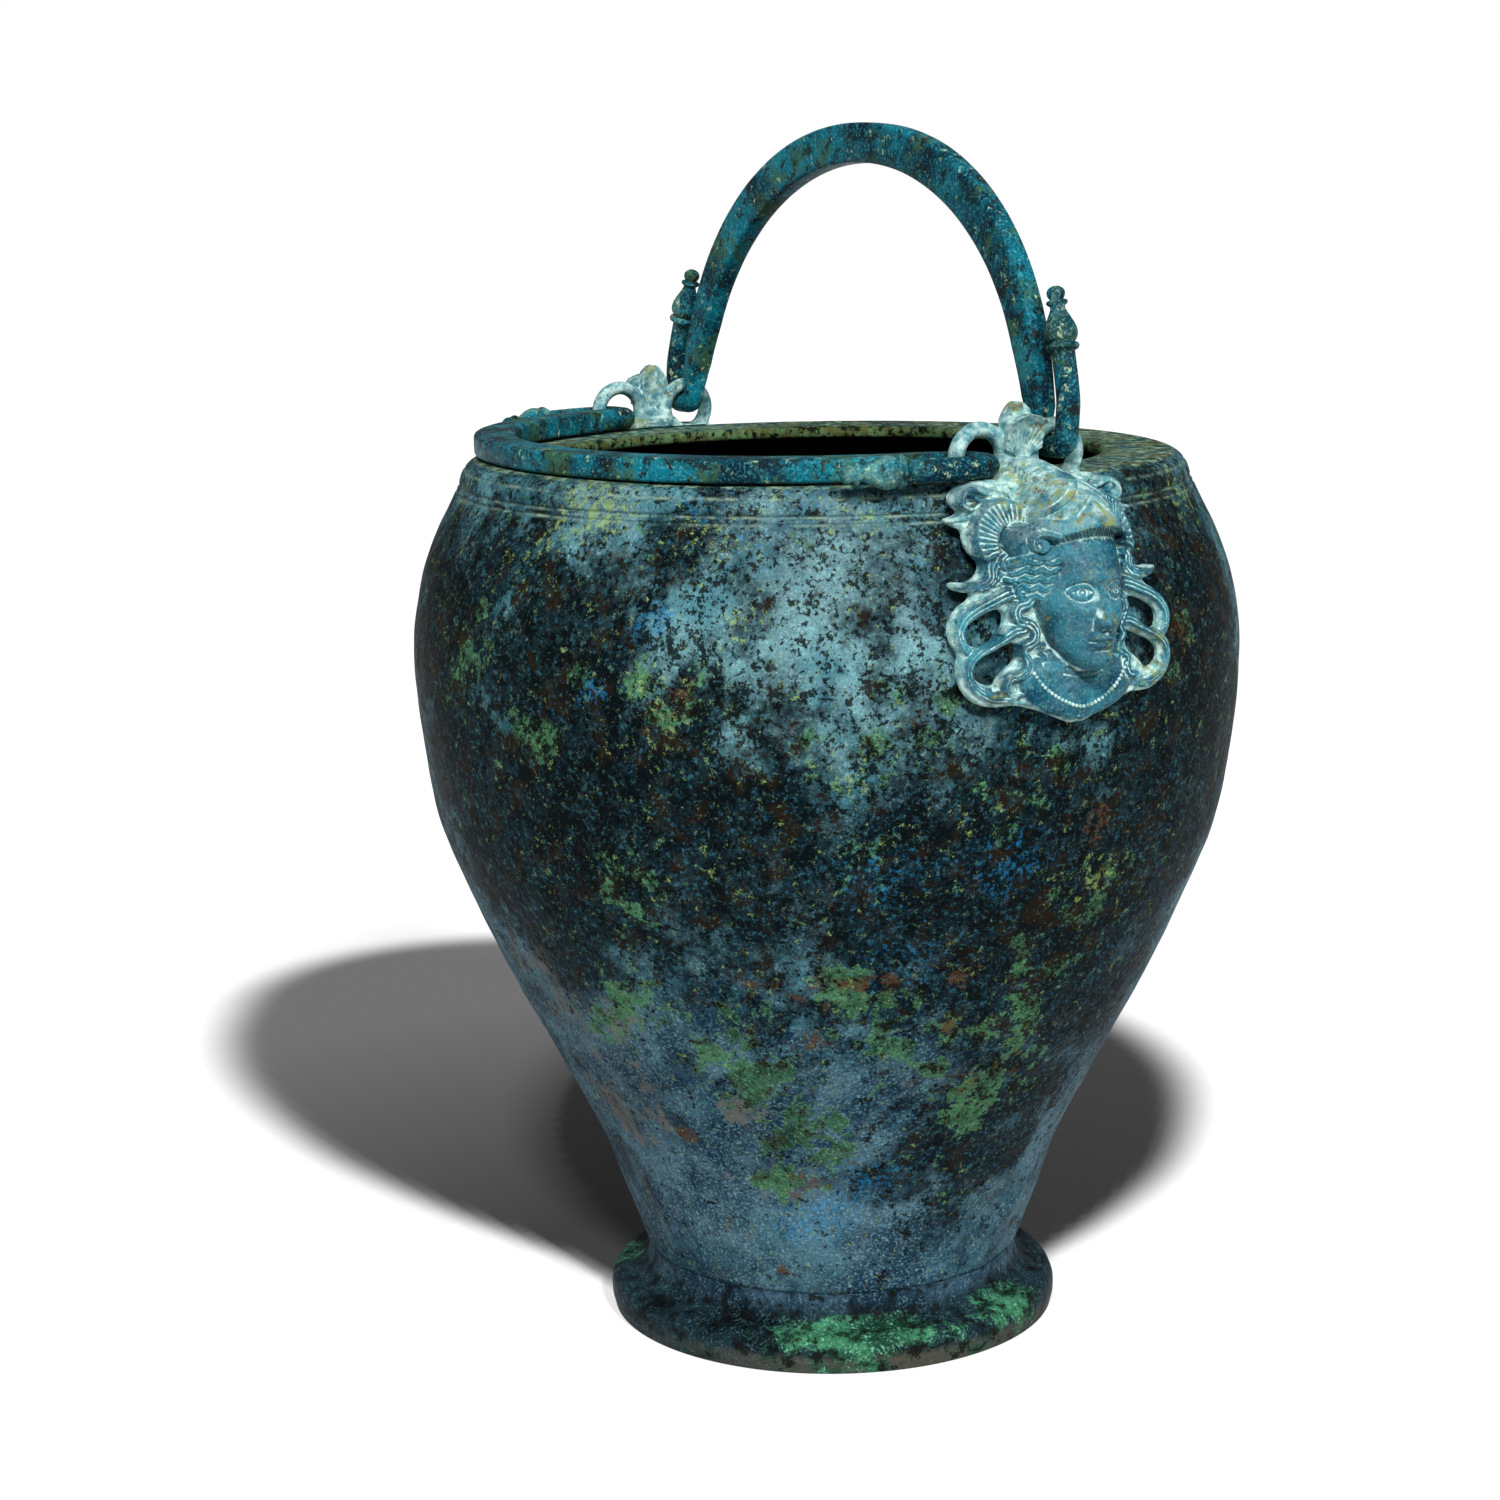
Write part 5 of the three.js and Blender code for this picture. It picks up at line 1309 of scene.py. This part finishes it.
def arch_rows():
    """The bar from the crown down to the shank: centre, way across, half sizes and edge of each section."""
    rows = []
    for a in np.linspace(math.pi / 2, 0, 90):
        s, c = math.sin(a), math.cos(a)
        out = np.array([SHANK_FACE * c ** (2 / FULLNESS), BAIL_RISE * s ** (2 / FULLNESS)])
        into = np.array([(SHANK_FACE - SHANK) * c, (BAIL_RISE - CROWN) * s])
        centre, across = (out + into) / 2, (out - into)
        wide = np.linalg.norm(across)
        way = across / wide
        narrow = NARROWING * wide * np.clip((NARROW_FROM - centre[1]) / NARROW_OVER, 0, 1) ** 1.4
        centre = centre + way * narrow / 2
        if centre[1] > ARCH_FOOT:
            rows.append((centre, way, (wide - narrow) / 2, BAIL_THICKNESS / 2, BAR_EDGE))
    return rows


def half_bail():
    """Sections from the crown down one side to the knob's tip, in the plane of the arch."""
    path = arch_rows()
    for y, w, wide, thick, edge, tilt in shank:
        way = np.array([math.cos(math.radians(tilt)), math.sin(math.radians(tilt))])
        path.append((np.array([y, w]), way, wide, thick, edge))
    rod = []
    corner = np.array([HOOK_Y + INNER_BEND, INNER_BEND])
    for a in np.linspace(0.12, 1, 7) * math.pi / 2:
        inwards = np.array([math.cos(a), math.sin(a)])
        rod.append((corner - INNER_BEND * inwards, inwards))
    rod.append((np.array([SEAT_Y, 0]), np.array([0.0, 1.0])))
    outer_y = rod_y(0)
    corner = np.array([outer_y - HOOK_BEND, HOOK_BEND])
    for a in np.linspace(0, 1, 8) * math.pi / 2:
        inwards = np.array([-math.sin(a), math.cos(a)])
        rod.append((corner - HOOK_BEND * inwards, inwards))
    ends = [np.array([outer_y, w]) for w in (6, 9, ABOVE_RING)]
    slope = (rod_y(ROD_RISE - ROD) - rod_y(ROD_RISE + ROD)) / (2 * ROD)
    end = np.array([rod_y(ROD_RISE), ROD_RISE])
    control = np.array([outer_y, ROD_RISE - (outer_y - end[0]) / slope])
    for s in np.linspace(0.12, 1, 8):
        ends.append((1 - s) ** 2 * ends[2] + 2 * s * (1 - s) * control + s ** 2 * end)
    along = np.gradient(np.array(ends), axis=0)
    along /= np.linalg.norm(along, axis=1)[:, None]
    rod += [(centre, np.array([-way[1], way[0]])) for centre, way in zip(ends, along)]
    path += [(centre, inwards, ROD, ROD, ROUND_EDGE) for centre, inwards in rod]
    way = along[-1]
    seat = ends[-1] - way * 0.6
    for radius, share in knob:
        half = radius * BULB * 0.98
        path.append((seat + way * share * KNOB, np.array([-way[1], way[0]]), half, half, ROUND_EDGE))
    return path


def bail_piece(name, pivot_x, pivot_z, lean, seed):
    """One bail, leaning over from upright about its pivot line."""
    path = half_bail()
    path = [(c * [-1, 1], d * [-1, 1], wide, thick, edge) for c, d, wide, thick, edge in path[:0:-1]] + path
    angle = np.arange(SECTION) * 2 * math.pi / SECTION
    c, s = np.cos(angle), np.sin(angle)
    verts, faces = [], []
    for centre, across, wide, thick, edge in path:
        a = np.sign(c) * np.abs(c) ** (2.0 / edge) * wide
        b = np.sign(s) * np.abs(s) ** (2.0 / edge) * thick
        verts += [(v, centre[0] + across[0] * u, centre[1] + across[1] * u) for u, v in zip(a, b)]
    for start in range(0, (len(path) - 1) * SECTION, SECTION):
        for j in range(SECTION):
            i = (j + 1) % SECTION
            faces.append((start + j, start + i, start + SECTION + i, start + SECTION + j))
    verts = np.array(verts)
    for start in (0, (len(path) - 1) * SECTION):
        ring = list(range(start, start + SECTION))
        verts = np.vstack([verts, verts[ring].mean(0)])
        turned = zip(ring[1:] + ring[:1], ring) if start == 0 else zip(ring, ring[1:] + ring[:1])
        faces += [(a, b, len(verts) - 1) for a, b in turned]
    verts[:, 0] *= 1 - 0.02 * (1 + ripple(verts, 14, seed, 2))
    t = math.radians(lean)
    x = verts[:, 0] * math.cos(t) + verts[:, 2] * math.sin(t) + pivot_x
    z = -verts[:, 0] * math.sin(t) + verts[:, 2] * math.cos(t) + pivot_z
    made = piece(name, np.stack([x, verts[:, 1], z], 1), faces)
    loose = bmesh.new()
    loose.from_mesh(made.data)
    bmesh.ops.remove_doubles(loose, verts=loose.verts, dist=1e-6)
    bmesh.ops.recalc_face_normals(loose, faces=loose.faces)
    loose.to_mesh(made.data)
    loose.free()
    p = read(made.data.vertices, "co", 3) / MM
    along_rod = (p[:, 0] - pivot_x) * math.sin(t) + (p[:, 2] - pivot_z) * math.cos(t)
    keep_mask(made, "knob", np.clip((along_rod - ROD_RISE + 3) / 3, 0, 1) * (np.abs(p[:, 1]) > 102.5))
    keep_mask(made, "rod", np.clip((along_rod - 2) / 6, 0, 1) * (np.abs(p[:, 1]) > 104))
    return made


bail_bronze, t, shader = material("teal bail bronze")
place = t.add("ShaderNodeTexCoord", out=3)
cloud = t.noise(place, 26, 3, 0.5)
skin = crusted(t, place, cloud, (2, 34, 50), (8, 106, 124), (96, 192, 198), 0.4)
pale = t.step(t.noise(place, 16, 5, 0.6), 0.54, 0.68)
colour = t.over(skin["Colour"], pale, 0.4, srgb(62, 152, 158))
green_mask = patched(t, place, 0.4, 14.0, 0.5, 0.06)["Mask"]
colour = t.over(colour, green_mask, 0.7, srgb(58, 92, 58))
pits = patched(t, place, 0.41, 4.0, 0.8, 0.03)["Mask"]
colour = t.over(colour, pits, 0.9, t.mix(cloud, srgb(8, 26, 32), srgb(34, 28, 18)))
ends = crusted(t, place, cloud, (30, 70, 72), (92, 142, 136), (176, 206, 178), 0.5)
ends_mask = t.scaled(t.attribute("knob"), t.step(t.noise(place, 5, 4, 0.6), 0.36, 0.56))
colour = t.over(colour, ends_mask, 0.75, ends["Colour"])
spot_spread = t.scaled(t.attribute("rod"), 0.045, 0.31)
spots = patched(t, place, spot_spread, 2.6, 0.5, 0.04)["Mask"]
colour = t.over(colour, spots, 0.75, srgb(176, 198, 150))
height = t.scaled(pits, -0.6, skin["Height"])
surface(t, shader, colour, t.scaled(t.noise(place, 3, 3), 0.2, 0.34), 0.06, height, 0.5, 0.0003)

LEFT_PIVOT, RIGHT_PIVOT = (-14.5, 276.4), (10.5, 280.0)
RIGHT_LEAN = 3.4
# The left bail lies on the rim, its crown a little lower than its pivot
LEFT_LEAN = -90 - math.degrees(math.asin((LEFT_PIVOT[1] - RIM_HEIGHT - 0.3 - BAIL_THICKNESS / 2) / BAIL_RISE))
for name, node, body_name, (x, z), lean, seed in (
        ("left_bail_bronze", "left_bail", "left_bail_body", LEFT_PIVOT, LEFT_LEAN, 31),
        ("right_bail_bronze", "right_bail", "right_bail_body", RIGHT_PIVOT, RIGHT_LEAN, 32)):
    made = bail_piece(name, x, z, lean, seed)
    made.data.materials.append(bail_bronze)
    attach(made, body_name)
    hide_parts(node)

# The floor and the sky are plain white, but for the vessel's two shadows, painted darker into the floor's
# colour. Two soft lamps light the vessel from the front, as in the photograph, and each throws one dark
# shadow behind it, over its painted one.
LAMP_SPREAD = 6
HALF_FLOOR, FLOOR_ROWS, FAR = 700.0, 281, 9000.0
# Each lamp's name, the way to it over the floor, its height in degrees and its strength
lamps = [("lamp_right", (-0.166, -0.986), 35, 2.1), ("lamp_left", (-0.578, -0.816), 44, 2.5)]
shade = []
for name, (x, y), height, strength in lamps:
    lamp_data = bpy.data.lights.new(name, "SUN")
    lamp_data.energy, lamp_data.angle = strength, math.radians(LAMP_SPREAD)
    lamp = in_scene(name, lamp_data)
    e = math.radians(height)
    towards = Vector((x * math.cos(e), y * math.cos(e), math.sin(e)))
    lamp.rotation_euler = towards.to_track_quat("Z", "Y").to_euler()
    shade.append((x / math.tan(e), y / math.tan(e)))

count = FLOOR_ROWS
grid = np.linspace(-HALF_FLOOR, HALF_FLOOR, count)
gx, gy = np.meshgrid(grid, grid)
# How deep each lamp's shadow is painted into the floor, from the body's outline at each height
depth = np.zeros(gx.shape)
for (sx, sy), fade in zip(shade, (0.14, 0.03)):
    cast = np.zeros(gx.shape)
    for r, z in outline[::6]:
        d = np.hypot(gx + sx * z, gy + sy * z) - r
        cast = np.maximum(cast, np.clip(0.5 - d / (6 + 0.11 * z), 0, 1))
    cast = cast * cast * (3 - 2 * cast)
    depth = np.maximum(depth, cast * (1 - fade * np.clip((np.hypot(gx, gy) - 110) / 260, 0, 1)))
verts = np.stack([gx.ravel(), gy.ravel(), np.zeros(gx.size)], 1)
verts = np.vstack([verts, [(-FAR, -FAR, 0), (FAR, -FAR, 0), (FAR, FAR, 0), (-FAR, FAR, 0)]])
number = np.arange(count * count).reshape(count, count)
faces = [(number[j, i], number[j, i + 1], number[j + 1, i + 1], number[j + 1, i])
         for j in range(count - 1) for i in range(count - 1)]
# The floor goes on past the grid as four large faces, one from each of its edges
for k, row in enumerate((number[0], number[:, -1], number[-1, ::-1], number[::-1, 0])):
    faces.append((count * count + k, count * count + (k + 1) % 4, *row[::-1]))
ground = piece("floor", verts, faces, smooth=False)
keep_mask(ground, "shadow", np.concatenate([depth.ravel(), np.zeros(4)]))
white, t, shader = material("white floor")
shadow = t.attribute("shadow")
shader.inputs["Roughness"].default_value = 1.0
shader.inputs["Specular IOR Level"].default_value = 0.0
# Painted shadow: the floor's colour and its glow for the camera go dark where the shadows lie
t.feed(shader.inputs["Base Color"], t.mix(shadow, (0.66, 0.66, 0.66, 1), (0.06, 0.06, 0.06, 1)))
path = t.tree.nodes.new("ShaderNodeLightPath").outputs
seen = t.math("MAXIMUM", path["Is Camera Ray"],
              t.math("MAXIMUM", path["Is Glossy Ray"], path["Is Transmission Ray"]))
t.feed(shader.inputs["Emission Strength"], t.scaled(seen, t.scaled(shadow, -0.35, 0.36)))
shader.inputs["Emission Color"].default_value = (1, 1, 1, 1)
ground.data.materials.append(white)

world = bpy.data.worlds.new("plain white sky")
bpy.context.scene.world = world
world.use_nodes = True
t = Tree(world.node_tree)
sky = world.node_tree.nodes["Background"]
path = t.tree.nodes.new("ShaderNodeLightPath").outputs
sky.inputs["Color"].default_value = (1, 1, 1, 1)
t.feed(sky.inputs["Strength"], t.scaled(path["Is Camera Ray"], 0.8, 0.2))

bpy.context.scene.view_settings.view_transform = "Standard"
